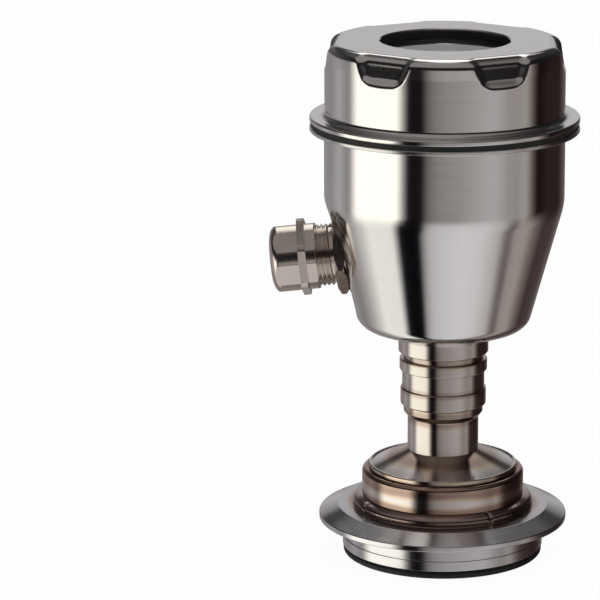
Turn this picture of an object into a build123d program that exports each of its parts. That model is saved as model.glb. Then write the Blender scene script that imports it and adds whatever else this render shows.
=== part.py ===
from build123d import *
from math import atan2, cos, degrees, radians, sin, tan
import os

os.makedirs("parts", exist_ok=True)

# All sizes are in millimetres. The origin is the centre of the sealing face, +Z is up the neck,
# and the cable gland points towards -X.

# Fits and small gaps
weld_gap = 0.02          # between pieces that are welded or pressed together
seat_gap = 0.02          # between faces that rest on each other
running_gap = 0.05       # radial clearance of the swivel
thread_gap = 0.15        # radial play left where fine threads are not drawn
soft_gap = 0.1           # around rubber rings

# Process connection: a turned spigot with a bevelled flange
spigot_d = 68.0
spigot_length = 12.2
flange_d = 84.0
flange_edge_height = 1.9
flange_bevel_rise = 2.9
flange_bevel_width = 6.3
seal_seat_width = 3.0
seal_seat_height = 2.9
spigot_groove_z = 6.5
spigot_groove_width = 0.5
spigot_groove_depth = 0.3
front_lip_reach = 3.0
front_lip_height = 2.5
flange_edge_round = 0.3

# Weld between flange and measuring cell, with two start and stop marks
bead_height = 3.6
bead_width = 3.0
bead_mark_r = 1.5
bead_mark_angles = (-151.0, -57.0)

# Seal ring in the front corner
seal_proud = 0.25
seal_round = 1.1

# Measuring cell
cell_d = 54.8
cell_skirt_step = 1.4
cell_wall_height = 12.7
cell_shoulder_round = 1.6
cell_groove_width = 0.4
cell_groove_depth = 0.5
cell_shoulder_width = 1.9
cell_rib_height = 1.8
cell_rib_width = 0.9
cone_foot_drop = 0.4
cone_height = 5.2
cavity_wall = 5.95
cavity_height = 24.0
cavity_roof_rise = 3.0
tube_seat_step = 3.0
tube_seat_depth = 2.8
diaphragm_thickness = 0.2
diaphragm_wave = 0.35
diaphragm_waves = 4
diaphragm_first_wave = 7.0
diaphragm_wave_pitch = 4.0
diaphragm_wave_width = 2.6
oil_film = 0.3
backing_height = 9.0
backing_bore_d = 2.0
capsule_d = 19.0
capsule_window_depth = 0.6
capsule_rim = 3.3
pin_glass_width = 2.0
capsule_height = 5.5
pin_count = 6
pin_d = 0.8
pin_length = 3.5
clamp_ring_lip = 2.3
clamp_ring_height = 3.4
spanner_hole_d = 2.6
cell_board_margin = 1.8
board_thickness = 1.6
sensor_cable_d = 4.0

# Neck
neck_d = 24.0
neck_straight = 11.6
neck_flare_height = 1.7
neck_head_step = 1.4
neck_head_height = 2.6
neck_bore_d = 12.0
pivot_step = 1.5
lower_collar_step = 2.45
lower_collar_height = 5.7
sleeve_step = 1.9
sleeve_height = 6.1
swivel_slit = 0.15
neck_seal_width = 2.0
neck_seal_depth = 1.4
neck_seal_lift = 1.9
clip_thickness = 1.2
clip_groove_depth = 0.8
clip_width = 1.9
clip_opening = 50.0
pivot_end = 1.8
washer_width = 1.65
washer_thickness = 1.0
washer_tab_reach = 0.8
washer_tab_width = 3.2
stop_pin_d = 1.8
stop_pin_inset = 1.4
stop_pin_depth = 4.0
stop_pin_proud = 1.5

# Socket at the foot of the housing
upper_collar_step = 2.8
upper_collar_height = 3.8
socket_groove_step = 1.45
socket_groove_height = 2.3
socket_slope = 0.5
socket_step = 3.2
socket_height = 10.7
collar_chamfer = 0.4

# Housing: a drawn cup with a turned rim
housing_d = 80.3
sheet = 2.0
dish_angle = 20.3
dish_z = 75.2
cone_half_angle = 15.53
cone_run = 10.82
cone_low_z = 82.76
bowl_round = 5.3
shoulder_round = 20.0
rim_reach = 4.85
rim_z = 146.4
rim_thickness = 1.45
collar_inset = 0.23
collar_wall = 1.9
collar_height = 9.8
collar_depth = 5.0
edge_round = 0.3

# Cover: a screw cap with six grip pockets
cover_gasket_height = 1.65
cover_gasket_inset = 0.4
cover_gasket_play = 0.6
cover_inset = 0.15
cover_flange_thickness = 1.8
cover_foot_round = 2.0
cover_height = 26.95
cover_edge_round = 3.4
cover_edge_start = 6.5
cover_edge_taper = 0.3
cover_thread_depth = 10.5
cover_plate = 1.7
window_d = 43.2
window_edge = 0.4
window_lip_drop = 1.0
window_lip_width = 0.8
lug_count = 6
lug_turn = -1.5
pocket_cut = 4.4
pocket_top_width = 19.2
pocket_low_width = 12.0
pocket_depth = 7.4
pocket_ledge_rise = 3.0
scoop_round = 6.0
pocket_round = 1.2
pitch_clearance = 0.2

# Window
glass_overlap = 7.9
glass_thickness = 8.0
window_gasket_thickness = 1.0
window_gasket_wall = 2.4
retainer_height = 4.0
retainer_ledge = 6.0
retainer_notches = 4
retainer_notch = 3.0

# Cable gland, along its own axis w from the housing's axis
gland_z = 107.4
gland_tilt = 6.0
boss_floor = 6.0
gland_sink = 8.15
pocket_margin = 1.2
pocket_wall_run = 3.0
pocket_wall_rise = 4.0
boss_margin = 0.8
gland_inner = 24.0
gland_thread_d = 20.8
gland_thread_pitch = 1.5
gland_thread_depth = 0.7
locknut_flats = 24.0
locknut_height = 3.8
locknut_turn = 12.0
gland_washer_thickness = 0.8
gland_washer_width = 2.6
gland_band_start = 42.6
gland_band_length = 3.3
gland_collar_length = 2.6
gland_collar_turn = -6.8
gland_flats = 21.9
gland_corner_reach = 0.55
dome_turn = -10.8
dome_length = 9.7
dome_round_length = 3.1
dome_end_wall = 0.3
dome_bore_d = 12.0
stub_step = 1.2
stub_length = 5.9
gland_bore_d = 12.0
insert_seat_wall = 1.6
insert_seat_start = 44.0
insert_play = 1.1
insert_bore_d = 8.0
insert_length = 10.6
cage_wall = 0.9
cage_start = 46.5
cage_length = 9.4
cage_slots = 8
cage_slot_width = 1.0
cage_slot_length = 5.5
cage_tip_taper = 0.7
nut_chamfer = 0.8

# Electronics inside the housing
support_z = 125.0
support_thickness = 3.0
support_width = 3.6
support_tab_inset = 7.13
support_tab_d = 9.0
carrier_margin = 2.63
carrier_thickness = 3.0
carrier_hole_d = 10.0
carrier_window_width = 24.0
carrier_window_depth = 12.0
screw_count = 3
screw_turn = 90.0
screw_d = 3.0
screw_head_d = 5.5
screw_head_height = 2.0
screw_length = 5.5
cross_slot = 0.6
terminal_board_margin = 7.5
block_end_inset = 12.52
block_depth = 10.0
block_height = 12.0
block_inset = 8.02
terminal_count = 4
terminal_end_width = 5.0
wire_hole = 4.0
wire_hole_depth = 6.0
terminal_screw_d = 3.6
terminal_screw_length = 4.0
spacer_flats = 5.0
spacer_height = 13.5
spacer_inset = 5.0
spacer_turn = 90.0
main_board_margin = 1.0
display_d = 62.0
display_height = 10.5
display_wall = 1.8
display_bezel = 1.6
lcd_width = 36.0
lcd_depth = 20.0
lcd_height = 3.0
lcd_y = 5.0
lens_thickness = 1.2
lens_margin = 1.5
key_count = 3
key_pitch = 13.0
key_y = -17.0
key_d = 5.0
key_proud = 1.4
key_stem_d = 2.4
key_flange_step = 0.7
key_flange_height = 0.8
key_travel = 0.8
key_gap = 0.15
switch_width = 6.0
switch_height = 3.6
plug_d = 8.0
plug_lift = 7.0
plug_lip_reach = 2.0
plug_lip_height = 1.2

# Diameters that follow from the sizes above
flange_top_d = flange_d - 2 * flange_bevel_width
seal_seat_d = spigot_d - 2 * seal_seat_width
cell_bore_d = cell_d - 2 * cell_skirt_step
front_lip_d = cell_bore_d - 2 * front_lip_reach
cell_step_d = cell_d - 2 * cell_shoulder_width
cell_groove_d = cell_step_d - 2 * cell_groove_width
cavity_d = cell_bore_d - 2 * cavity_wall
tube_seat_d = neck_d - 2 * tube_seat_step
clamp_ring_bore_d = capsule_d - 2 * clamp_ring_lip
pin_circle_d = capsule_d - 2 * capsule_rim - pin_glass_width - 2 * pin_d
cell_board_d = pin_circle_d + 2 * cell_board_margin
pivot_d = neck_d - 2 * pivot_step
neck_head_d = neck_d + 2 * neck_head_step
lower_collar_d = neck_d + 2 * lower_collar_step
sleeve_d = neck_d + 2 * sleeve_step
upper_collar_d = neck_d + 2 * upper_collar_step
socket_groove_d = neck_d + 2 * socket_groove_step
socket_d = neck_d + 2 * socket_step
washer_d = pivot_d + 2 * running_gap + 2 * washer_width
stop_pin_circle_d = socket_d - 2 * stop_pin_inset
cone_low_r = housing_d / 2 - cone_run
pocket_seat = housing_d / 2 - gland_sink
boss_inner = pocket_seat - boss_floor
rim_d = housing_d + 2 * rim_reach
collar_d = housing_d - 2 * sheet - 2 * collar_inset
collar_bore_d = collar_d - 2 * collar_wall
cover_gasket_bore_d = collar_d + 2 * cover_gasket_play
cover_d = housing_d - 2 * cover_inset
pocket_floor = cover_d / 2 - pocket_cut
window_lip_d = window_d + 2 * window_lip_width
glass_d = window_d + 2 * glass_overlap
window_bore_d = glass_d + 2 * window_gasket_wall + 2 * soft_gap
retainer_bore_d = glass_d - 2 * retainer_ledge
boss_pocket_d = locknut_flats / cos(radians(30)) + 2 * pocket_margin
boss_d = boss_pocket_d + 2 * pocket_wall_run + 2 * boss_margin
gland_washer_d = gland_thread_d + 2 * gland_washer_width
gland_round_d = gland_flats + 2 * gland_corner_reach
dome_end_d = dome_bore_d + 2 * dome_end_wall
stub_d = gland_thread_d - 2 * stub_step
insert_seat_d = stub_d - 2 * insert_seat_wall
cage_d = insert_seat_d - 2 * soft_gap
cage_bore_d = cage_d - 2 * cage_wall
insert_d = insert_seat_d - 2 * insert_play
carrier_d = housing_d - 2 * sheet - 2 * carrier_margin
support_tab_circle_d = housing_d - 2 * sheet - 2 * support_tab_inset
terminal_board_d = carrier_d - 2 * terminal_board_margin
block_y = block_inset + block_depth / 2 - terminal_board_d / 2
block_length = terminal_board_d - 2 * block_end_inset
terminal_pitch = (block_length - 2 * terminal_end_width) / (terminal_count - 1)
spacer_circle_d = terminal_board_d - 2 * spacer_inset
main_board_d = display_d - 2 * main_board_margin
key_flange_d = key_d + 2 * key_flange_step
spanner_circle_d = (clamp_ring_bore_d + cavity_d) / 2

# Heights that follow from the sizes above
flange_edge_top = spigot_length + flange_edge_height
flange_top = flange_edge_top + flange_bevel_rise
cell_shoulder_z = flange_top + cell_wall_height
cell_rib_z = cell_shoulder_z + cell_rib_height
cone_foot_z = cell_rib_z - cone_foot_drop
cell_top = cone_foot_z + cone_height
tube_top = cell_top + neck_straight
neck_head_z = tube_top + neck_flare_height
neck_top = neck_head_z + neck_head_height
lower_collar_top = neck_top + seat_gap + lower_collar_height
sleeve_top = lower_collar_top + seat_gap + sleeve_height
socket_foot = sleeve_top + swivel_slit
socket_groove_z = socket_foot + upper_collar_height
socket_shoulder_z = socket_groove_z + socket_groove_height
socket_top = socket_shoulder_z + socket_height
washer_top = socket_top + seat_gap + washer_thickness
clip_top = washer_top + seat_gap + clip_thickness
pivot_top = clip_top + seat_gap + pivot_end
rim_top = rim_z + rim_thickness
collar_top = rim_top + collar_height
cover_foot = rim_top + cover_gasket_height + 2 * seat_gap
cover_top = cover_foot + cover_height
window_ceiling = cover_top - cover_plate
glass_top = window_ceiling - window_gasket_thickness - 2 * seat_gap
glass_low = glass_top - glass_thickness
retainer_top = glass_low - seat_gap
retainer_low = retainer_top - retainer_height
board_low = backing_height + capsule_height + pin_length + 2 * seat_gap
support_top = support_z + support_thickness
carrier_low = support_top + seat_gap
carrier_top = carrier_low + carrier_thickness
terminal_board_low = carrier_top + seat_gap
terminal_board_top = terminal_board_low + board_thickness
main_board_low = terminal_board_top + spacer_height + 2 * seat_gap
main_board_top = main_board_low + board_thickness
display_low = main_board_top + seat_gap
display_top = display_low + display_height
plug_low = carrier_low - plug_lift
locknut_low = pocket_seat + gland_washer_thickness + 2 * seat_gap
locknut_top = locknut_low + locknut_height
gland_collar_start = gland_band_start + gland_band_length
gland_collar_end = gland_collar_start + gland_collar_length
dome_start = gland_collar_end + seat_gap
dome_end = dome_start + dome_length
stub_end = gland_collar_end + stub_length

# The gland's own frame: local Z runs outwards along the gland, local X is up
gland_frame = Plane(
    origin=(0, 0, gland_z),
    x_dir=(-sin(radians(gland_tilt)), 0, cos(radians(gland_tilt))),
    z_dir=(-cos(radians(gland_tilt)), 0, -sin(radians(gland_tilt))),
)


def outline(corners):
    """A flat face from corners (r, z) or (r, z, round)."""
    face = make_face(Polyline(*[(c[0], c[1]) for c in corners], close=True))
    for corner in corners:
        if len(corner) > 2:
            place = Vector(corner[0], corner[1])
            vertex = face.vertices().sort_by_distance(place)[0]
            face = fillet(vertex, corner[2])
    return face


def turned(*corners):
    """A solid of revolution about the Z axis from its half section."""
    return revolve(Plane.XZ * outline(corners), Axis.Z)


def ring(outer_d, inner_d, low, height):
    return Pos(0, 0, low) * (
        Cylinder(outer_d / 2, height, align=(Align.CENTER, Align.CENTER, Align.MIN))
        - Cylinder(inner_d / 2, height, align=(Align.CENTER, Align.CENTER, Align.MIN))
    )


def rod(diameter, low, height):
    return Pos(0, 0, low) * Cylinder(diameter / 2, height, align=(Align.CENTER, Align.CENTER, Align.MIN))


def hex_rod(flats, low, height, turn):
    section = RegularPolygon(flats / 2, 6, major_radius=False, rotation=turn)
    return Pos(0, 0, low) * extrude(section, height)


def around(count, radius, turn=0.0):
    """Places on a circle about the Z axis, each turned to face outwards."""
    for index in range(count):
        angle = turn + index * 360.0 / count
        yield Rot(0, 0, angle) * Pos(radius, 0, 0)


def at_gland(piece):
    return gland_frame.location * piece


def rounded_box(width, depth, height, radius):
    return extrude(RectangleRounded(width, depth, radius), height)


# Process connection


def make_process_flange():
    groove_low = spigot_groove_z - spigot_groove_width / 2
    groove_high = spigot_groove_z + spigot_groove_width / 2
    groove_r = spigot_d / 2 - spigot_groove_depth
    body = turned(
        (front_lip_d / 2, 0),
        (seal_seat_d / 2, 0),
        (seal_seat_d / 2, seal_seat_height),
        (spigot_d / 2, seal_seat_height),
        (spigot_d / 2, groove_low),
        (groove_r, groove_low),
        (groove_r, groove_high),
        (spigot_d / 2, groove_high),
        (spigot_d / 2, spigot_length),
        (flange_d / 2, spigot_length, flange_edge_round),
        (flange_d / 2, flange_edge_top, flange_edge_round),
        (flange_top_d / 2, flange_top),
        (cell_bore_d / 2, flange_top),
        (cell_bore_d / 2, front_lip_height),
        (front_lip_d / 2, front_lip_height),
    )
    inner = cell_d / 2 + weld_gap
    foot = Vector(inner + bead_width, flange_top)
    head = Vector(inner, flange_top + bead_height)
    crown = Vector(inner + bead_width * 0.78, flange_top + bead_height * 0.62)
    section = make_face(
        ThreePointArc(foot, crown, head)
        + Line(head, Vector(inner, flange_top))
        + Line(Vector(inner, flange_top), foot)
    )
    bead = revolve(Plane.XZ * section, Axis.Z)
    for angle in bead_mark_angles:
        mark = Pos(inner + bead_width, 0, flange_top + bead_height) * Sphere(bead_mark_r)
        bead -= Rot(0, 0, angle) * mark
    return body + bead


def make_process_seal():
    low = soft_gap
    high = seal_seat_height - soft_gap
    inner = seal_seat_d / 2 + soft_gap / 2
    outer = spigot_d / 2 - seal_proud
    return turned((inner, low), (outer, low, seal_round), (outer, high, seal_round), (inner, high))


def make_diaphragm():
    rim_r = front_lip_d / 2 - weld_gap
    low = Polyline((0, 0), (rim_r, 0), (rim_r, diaphragm_thickness), (0, diaphragm_thickness), close=True)
    section = make_face(low)
    for index in range(diaphragm_waves):
        radius = diaphragm_first_wave + index * diaphragm_wave_pitch
        half = diaphragm_wave_width / 2
        for lift, add in ((diaphragm_thickness, True), (0.0, False)):
            start = Vector(radius - half, lift)
            end = Vector(radius + half, lift)
            top = Vector(radius, lift + diaphragm_wave)
            wave = make_face(ThreePointArc(start, top, end) + Line(end, start))
            section = section + wave if add else section - wave
    return revolve(Plane.XZ * section, Axis.Z)


def make_backing_plate():
    rim_r = front_lip_d / 2 - weld_gap
    rim_low = diaphragm_thickness + seat_gap
    film_low = diaphragm_thickness + diaphragm_wave + oil_film
    last_wave = diaphragm_first_wave + (diaphragm_waves - 1) * diaphragm_wave_pitch
    film_r = last_wave + diaphragm_wave_width / 2 + oil_film
    body_r = cavity_d / 2 - weld_gap
    return turned(
        (backing_bore_d / 2, film_low),
        (film_r, film_low),
        (film_r, rim_low),
        (rim_r, rim_low),
        (rim_r, front_lip_height),
        (body_r, front_lip_height),
        (body_r, backing_height),
        (backing_bore_d / 2, backing_height),
    )


def make_sensor_capsule():
    low = backing_height + seat_gap
    window_low = low + capsule_height - capsule_window_depth
    body = rod(capsule_d, low, capsule_height)
    body -= rod(capsule_d - 2 * capsule_rim + 2 * pin_d, window_low, capsule_window_depth)
    glass = ring(
        pin_circle_d + pin_glass_width,
        pin_circle_d - pin_glass_width,
        window_low,
        capsule_window_depth,
    )
    return body + glass


def make_header_pins():
    low = backing_height + capsule_height + seat_gap
    pins = [place * rod(pin_d, low, pin_length) for place in around(pin_count, pin_circle_d / 2)]
    return Part() + pins


def make_capsule_clamp_ring():
    low = backing_height + capsule_height + 2 * seat_gap
    body = ring(cavity_d - 2 * weld_gap, clamp_ring_bore_d, low, clamp_ring_height)
    for place in around(2, spanner_circle_d / 2):
        body -= place * rod(spanner_hole_d, low, clamp_ring_height)
    return body


def make_cell_board():
    board = rod(cell_board_d, board_low, board_thickness)
    for place in around(2, cell_board_d / 2, 90.0):
        board -= place * rod(pin_d * 2, board_low, board_thickness)
    return board


def make_cell_body():
    skirt_r = cell_bore_d / 2 - weld_gap
    skirt_low = front_lip_height + seat_gap
    groove_low = cell_shoulder_z - cell_groove_depth
    rib_r = cell_groove_d / 2
    return turned(
        (cavity_d / 2, skirt_low),
        (skirt_r, skirt_low),
        (skirt_r, flange_top + seat_gap),
        (cell_d / 2, flange_top + seat_gap),
        (cell_d / 2, cell_shoulder_z, cell_shoulder_round),
        (cell_step_d / 2, cell_shoulder_z),
        (cell_step_d / 2, groove_low),
        (rib_r, groove_low),
        (rib_r, cell_rib_z, cell_rib_width * 0.6),
        (rib_r - cell_rib_width, cell_rib_z),
        (rib_r - cell_rib_width, cone_foot_z),
        (neck_d / 2, cell_top),
        (tube_seat_d / 2, cell_top),
        (tube_seat_d / 2, cavity_height + cavity_roof_rise),
        (cavity_d / 2, cavity_height),
    )


def make_sensor_cable():
    low = board_low + board_thickness + seat_gap
    return rod(sensor_cable_d, low, plug_low - seat_gap - low)


# Neck


def make_neck_tube():
    pivot_r = pivot_d / 2
    seal_low = sleeve_top + neck_seal_lift
    seal_high = seal_low + neck_seal_width + 2 * soft_gap
    seal_r = pivot_r - neck_seal_depth - soft_gap
    clip_low = washer_top
    clip_r = pivot_r - clip_groove_depth
    spigot_r = tube_seat_d / 2 - weld_gap
    foot = cell_top + seat_gap
    flare_round = neck_flare_height * 0.8
    return turned(
        (neck_bore_d / 2, cell_top - tube_seat_depth),
        (spigot_r, cell_top - tube_seat_depth),
        (spigot_r, foot),
        (neck_d / 2, foot),
        (neck_d / 2, tube_top, flare_round),
        (neck_head_d / 2, neck_head_z, edge_round),
        (neck_head_d / 2, neck_top, edge_round * 2),
        (pivot_r, neck_top),
        (pivot_r, seal_low),
        (seal_r, seal_low),
        (seal_r, seal_high),
        (pivot_r, seal_high),
        (pivot_r, clip_low),
        (clip_r, clip_low),
        (clip_r, clip_top + seat_gap),
        (pivot_r, clip_top + seat_gap),
        (pivot_r, pivot_top),
        (neck_bore_d / 2, pivot_top),
    )


def chamfered_ring(outer_d, inner_d, low, height, cut):
    outer = outer_d / 2
    inner = inner_d / 2
    high = low + height
    return turned(
        (inner, low),
        (outer - cut, low),
        (outer, low + cut),
        (outer, high - cut),
        (outer - cut, high),
        (inner, high),
    )


def make_lower_collar():
    bore = pivot_d + 2 * running_gap
    return chamfered_ring(lower_collar_d, bore, neck_top + seat_gap, lower_collar_height, collar_chamfer)


def make_swivel_sleeve():
    low = lower_collar_top + seat_gap
    return ring(sleeve_d, pivot_d + 2 * running_gap, low, sleeve_height)


def make_neck_o_ring():
    low = sleeve_top + neck_seal_lift + soft_gap
    high = low + neck_seal_width
    inner = pivot_d / 2 - neck_seal_depth
    outer = pivot_d / 2
    bulge = neck_seal_depth * 0.3
    return turned((inner, low, bulge), (outer, low, bulge), (outer, high, bulge), (inner, high, bulge))


def make_thrust_washer():
    low = socket_top + seat_gap
    disc = rod(washer_d, low, washer_thickness)
    tab_length = stop_pin_circle_d / 2 + washer_tab_reach
    tab = Pos(tab_length / 2, 0, low) * Box(
        tab_length, washer_tab_width, washer_thickness, align=(Align.CENTER, Align.CENTER, Align.MIN)
    )
    return disc + tab - rod(pivot_d + 2 * running_gap, low, washer_thickness)


def make_retaining_ring():
    low = washer_top + seat_gap
    clip_r = pivot_d / 2 - clip_groove_depth + weld_gap
    outer_r = clip_r + clip_width
    body = ring(2 * outer_r, 2 * clip_r, low, clip_thickness)
    gap = rod(4 * outer_r, low, clip_thickness)
    wedge = make_face(
        Polyline(
            (0, 0),
            (2 * outer_r, -2 * outer_r * tan(radians(clip_opening / 2))),
            (2 * outer_r, 2 * outer_r * tan(radians(clip_opening / 2))),
            close=True,
        )
    )
    body -= gap & (Pos(0, 0, low) * extrude(wedge, clip_thickness))
    for side in (-1, 1):
        angle = side * (clip_opening / 2 + 8.0)
        ear = Rot(0, 0, angle) * Pos(outer_r - 0.2, 0, 0) * rod(clip_width, low, clip_thickness)
        body += ear - rod(2 * clip_r, low, clip_thickness)
    return Rot(0, 0, 90) * body


# Housing


def cone_r(z):
    return cone_low_r + (z - cone_low_z) * tan(radians(cone_half_angle))


def housing_section(inset):
    """Half section of the drawn form, closed on the axis, moved inwards by inset."""
    outer_r = housing_d / 2 - inset
    slant = radians(cone_half_angle)
    dish = radians(dish_angle)
    shift_z = inset / cos(dish)
    shift_r = inset / cos(slant)
    corner_z = cone_low_z + (outer_r + shift_r - cone_low_r) / tan(slant)
    # The cone's line meets the dish's line at the lower corner
    low_r = cone_low_r - shift_r
    low_z0 = dish_z + shift_z - socket_d / 2 * tan(dish)
    foot_r = (low_r - cone_low_z * tan(slant) + low_z0 * tan(slant)) / (1 - tan(dish) * tan(slant))
    foot_z = low_z0 + foot_r * tan(dish)
    return outline(
        [
            (0, low_z0),
            (foot_r, foot_z, bowl_round - inset),
            (outer_r, corner_z, shoulder_round - inset),
            (outer_r, rim_z),
            (0, rim_z),
        ]
    )


def housing_core(inset):
    return revolve(Plane.XZ * housing_section(inset), Axis.Z)


def make_housing_cup():
    shell = housing_core(0) - housing_core(sheet)
    shell -= rod(socket_d + 2 * weld_gap, 0, cover_foot / 2 + socket_top / 2)
    opening = at_gland(rod(boss_d + 2 * weld_gap, 0, rim_d))
    return shell - opening


def make_gland_boss():
    body = housing_core(0) & at_gland(rod(boss_d, boss_inner, rim_d))
    pocket = turned(
        (0, pocket_seat),
        (boss_pocket_d / 2, pocket_seat),
        (boss_pocket_d / 2 + pocket_wall_run, pocket_seat + pocket_wall_rise),
        (boss_pocket_d / 2 + pocket_wall_run, rim_d),
        (0, rim_d),
    )
    body -= at_gland(pocket)
    return body - at_gland(rod(gland_thread_d + 2 * weld_gap, 0, rim_d))


def make_housing_rim():
    cup_inner_r = housing_d / 2 - sheet - weld_gap
    return turned(
        (collar_bore_d / 2, rim_z - collar_depth),
        (cup_inner_r, rim_z - collar_depth),
        (cup_inner_r, rim_z + seat_gap),
        (rim_d / 2, rim_z + seat_gap, edge_round),
        (rim_d / 2, rim_top, edge_round),
        (collar_d / 2, rim_top),
        (collar_d / 2, collar_top, edge_round),
        (collar_bore_d / 2, collar_top),
    )


def make_housing_socket():
    bore_r = pivot_d / 2 + running_gap
    body = turned(
        (bore_r, socket_foot),
        (upper_collar_d / 2 - collar_chamfer, socket_foot),
        (upper_collar_d / 2, socket_foot + collar_chamfer),
        (upper_collar_d / 2, socket_groove_z - collar_chamfer),
        (upper_collar_d / 2 - collar_chamfer, socket_groove_z),
        (socket_groove_d / 2, socket_groove_z + collar_chamfer),
        (socket_groove_d / 2, socket_shoulder_z - socket_slope),
        (socket_d / 2, socket_shoulder_z + socket_slope),
        (socket_d / 2, socket_top),
        (bore_r, socket_top),
    )
    hole = Pos(-stop_pin_circle_d / 2, 0, 0) * rod(
        stop_pin_d + 2 * weld_gap, socket_top - stop_pin_depth, stop_pin_depth
    )
    return body - hole


def make_swivel_stop_pin():
    low = socket_top - stop_pin_depth + seat_gap
    return Pos(-stop_pin_circle_d / 2, 0, 0) * rod(stop_pin_d, low, stop_pin_depth + stop_pin_proud)


# Cable gland


def hex_nut(flats, low, height, turn, chamfer_both):
    """A hexagon with its corners turned off at a slant on one or both ends."""
    corner_r = flats / 2 / cos(radians(30))
    flat_r = flats / 2
    drop = (corner_r - flat_r) * tan(radians(30)) + 0.1
    high = low + height
    low_corner = [(flat_r, low), (corner_r + 0.01, low + drop)] if chamfer_both else [(corner_r + 0.01, low)]
    blank = turned(
        (0, low),
        *low_corner,
        (corner_r + 0.01, high - drop),
        (flat_r, high),
        (0, high),
    )
    return hex_rod(flats, low, height, turn) & blank


def thread_ridges(diameter, pitch, depth, low, high):
    """Rings of a thread's profile, from low to high along the axis."""
    crest = diameter / 2
    root = crest - depth
    corners = [(0, low), (root, low)]
    for index in range(int((high - low) / pitch)):
        base = low + index * pitch
        corners.append((root, base + pitch * 0.1))
        corners.append((crest, base + pitch * 0.45))
        corners.append((crest, base + pitch * 0.6))
        corners.append((root, base + pitch * 0.95))
    corners += [(root, high), (0, high)]
    return turned(*corners)


def make_gland_body():
    entry = rod(gland_thread_d, gland_inner, locknut_top - gland_inner)
    ridges = thread_ridges(gland_thread_d, gland_thread_pitch, gland_thread_depth, locknut_top, gland_band_start)
    band = hex_rod(gland_flats, gland_band_start, gland_band_length, dome_turn)
    band &= rod(gland_round_d, gland_band_start, gland_band_length)
    collar = hex_rod(locknut_flats, gland_collar_start, gland_collar_length, gland_collar_turn)
    stub = rod(stub_d, gland_collar_end, stub_length)
    body = entry + ridges + band + collar + stub
    body -= rod(gland_bore_d, 0, insert_seat_start)
    body -= rod(insert_seat_d, insert_seat_start, stub_end)
    return at_gland(body)


def make_gland_washer():
    bore = gland_thread_d + 2 * soft_gap
    return at_gland(ring(gland_washer_d, bore, pocket_seat + seat_gap, gland_washer_thickness))


def make_gland_locknut():
    nut = hex_nut(locknut_flats, locknut_low, locknut_height, locknut_turn, True)
    return at_gland(nut - rod(gland_thread_d + 2 * weld_gap, locknut_low, locknut_height))


def make_sealing_insert():
    low = insert_seat_start + seat_gap
    body = ring(insert_d, insert_bore_d, low, insert_length)
    return at_gland(body)


def make_clamping_cage():
    end = cage_start + cage_length
    outer = cage_d / 2
    body = turned(
        (cage_bore_d / 2, cage_start),
        (outer, cage_start),
        (outer, end - cage_tip_taper),
        (outer - cage_tip_taper, end),
        (cage_bore_d / 2, end),
    )
    slot = Pos(outer, 0, end - cage_slot_length) * Box(
        cage_d, cage_slot_width, cage_slot_length * 2, align=(Align.CENTER, Align.CENTER, Align.MIN)
    )
    for place in around(cage_slots, 0):
        body -= place * slot
    return at_gland(body)


def make_dome_nut():
    round_start = dome_end - dome_round_length
    outer_r = gland_round_d / 2
    section = make_face(
        Polyline((0, dome_start), (outer_r, dome_start), (outer_r, round_start))
        + EllipticalCenterArc(
            (dome_end_d / 2, round_start),
            outer_r - dome_end_d / 2,
            dome_round_length,
            start_angle=0,
            arc_size=90,
        )
        + Polyline((dome_end_d / 2, dome_end), (0, dome_end), (0, dome_start))
    )
    blank = revolve(Plane.XZ * section, Axis.Z)
    body = hex_rod(gland_flats, dome_start, dome_length, dome_turn) & blank
    thread_r = stub_d / 2 + thread_gap
    shoulder = stub_end + thread_gap * 2
    cone_end = dome_end - 0.7
    bore_r = dome_bore_d / 2
    inside = turned(
        (0, dome_start),
        (thread_r, dome_start),
        (thread_r, shoulder),
        (cage_d / 2 + 1.0, shoulder),
        (bore_r, cone_end),
        (bore_r, dome_end),
        (0, dome_end),
    )
    return at_gland(body - inside)


# Cover


def make_cover_gasket():
    low = rim_top + seat_gap
    return ring(rim_d - 2 * cover_gasket_inset, cover_gasket_bore_d, low, cover_gasket_height)


def cover_blank():
    outer = cover_d / 2
    flange_top_z = cover_foot + cover_flange_thickness
    edge_z = cover_top - cover_edge_start
    return turned(
        (0, cover_foot),
        (rim_d / 2, cover_foot, edge_round),
        (rim_d / 2, flange_top_z, edge_round * 2),
        (outer, flange_top_z, cover_foot_round),
        (outer, edge_z),
        (outer - cover_edge_taper, cover_top, cover_edge_round),
        (0, cover_top),
    )


def grip_pocket():
    """One pocket's cutter, at azimuth 0: a floor that scoops out to the wall over a slanted ledge.

    Floor, scoop and ledge meet both sides in a round, as a ball-nosed mill leaves it.
    """
    reach = cover_d
    floor_low = cover_top - pocket_depth
    side = Plane.XZ * make_face(
        Polyline(
            (pocket_floor, cover_top + reach),
            (pocket_floor, floor_low),
            (pocket_floor + reach, floor_low - pocket_ledge_rise * reach / (cover_d / 2 - pocket_floor)),
            (pocket_floor + reach, cover_top + reach),
            close=True,
        )
    )
    side_solid = extrude(side, amount=cover_d / 2, both=True)
    spread = (pocket_top_width - pocket_low_width) / 2 / pocket_depth
    below = pocket_ledge_rise * 1.5
    low_z = floor_low - below
    low_half = pocket_low_width / 2 - spread * below
    high_half = pocket_top_width / 2 + spread * pocket_depth
    front = Plane.YZ * make_face(
        Polyline(
            (-low_half, low_z),
            (low_half, low_z),
            (high_half, cover_top + pocket_depth),
            (-high_half, cover_top + pocket_depth),
            close=True,
        )
    )
    front_solid = extrude(front, amount=reach)
    cutter = side_solid & front_solid
    floor = cutter.faces().sort_by(Axis.X)[0]
    cutter = fillet(floor.edges().sort_by(Axis.Z)[0], scoop_round)
    bed = cutter.faces().filter_by(lambda face: face.normal_at().X < -0.1)
    sides = [edge for face in bed for edge in face.edges() if abs(edge.center().Y) > pocket_round]
    return fillet(sides, pocket_round)


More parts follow.
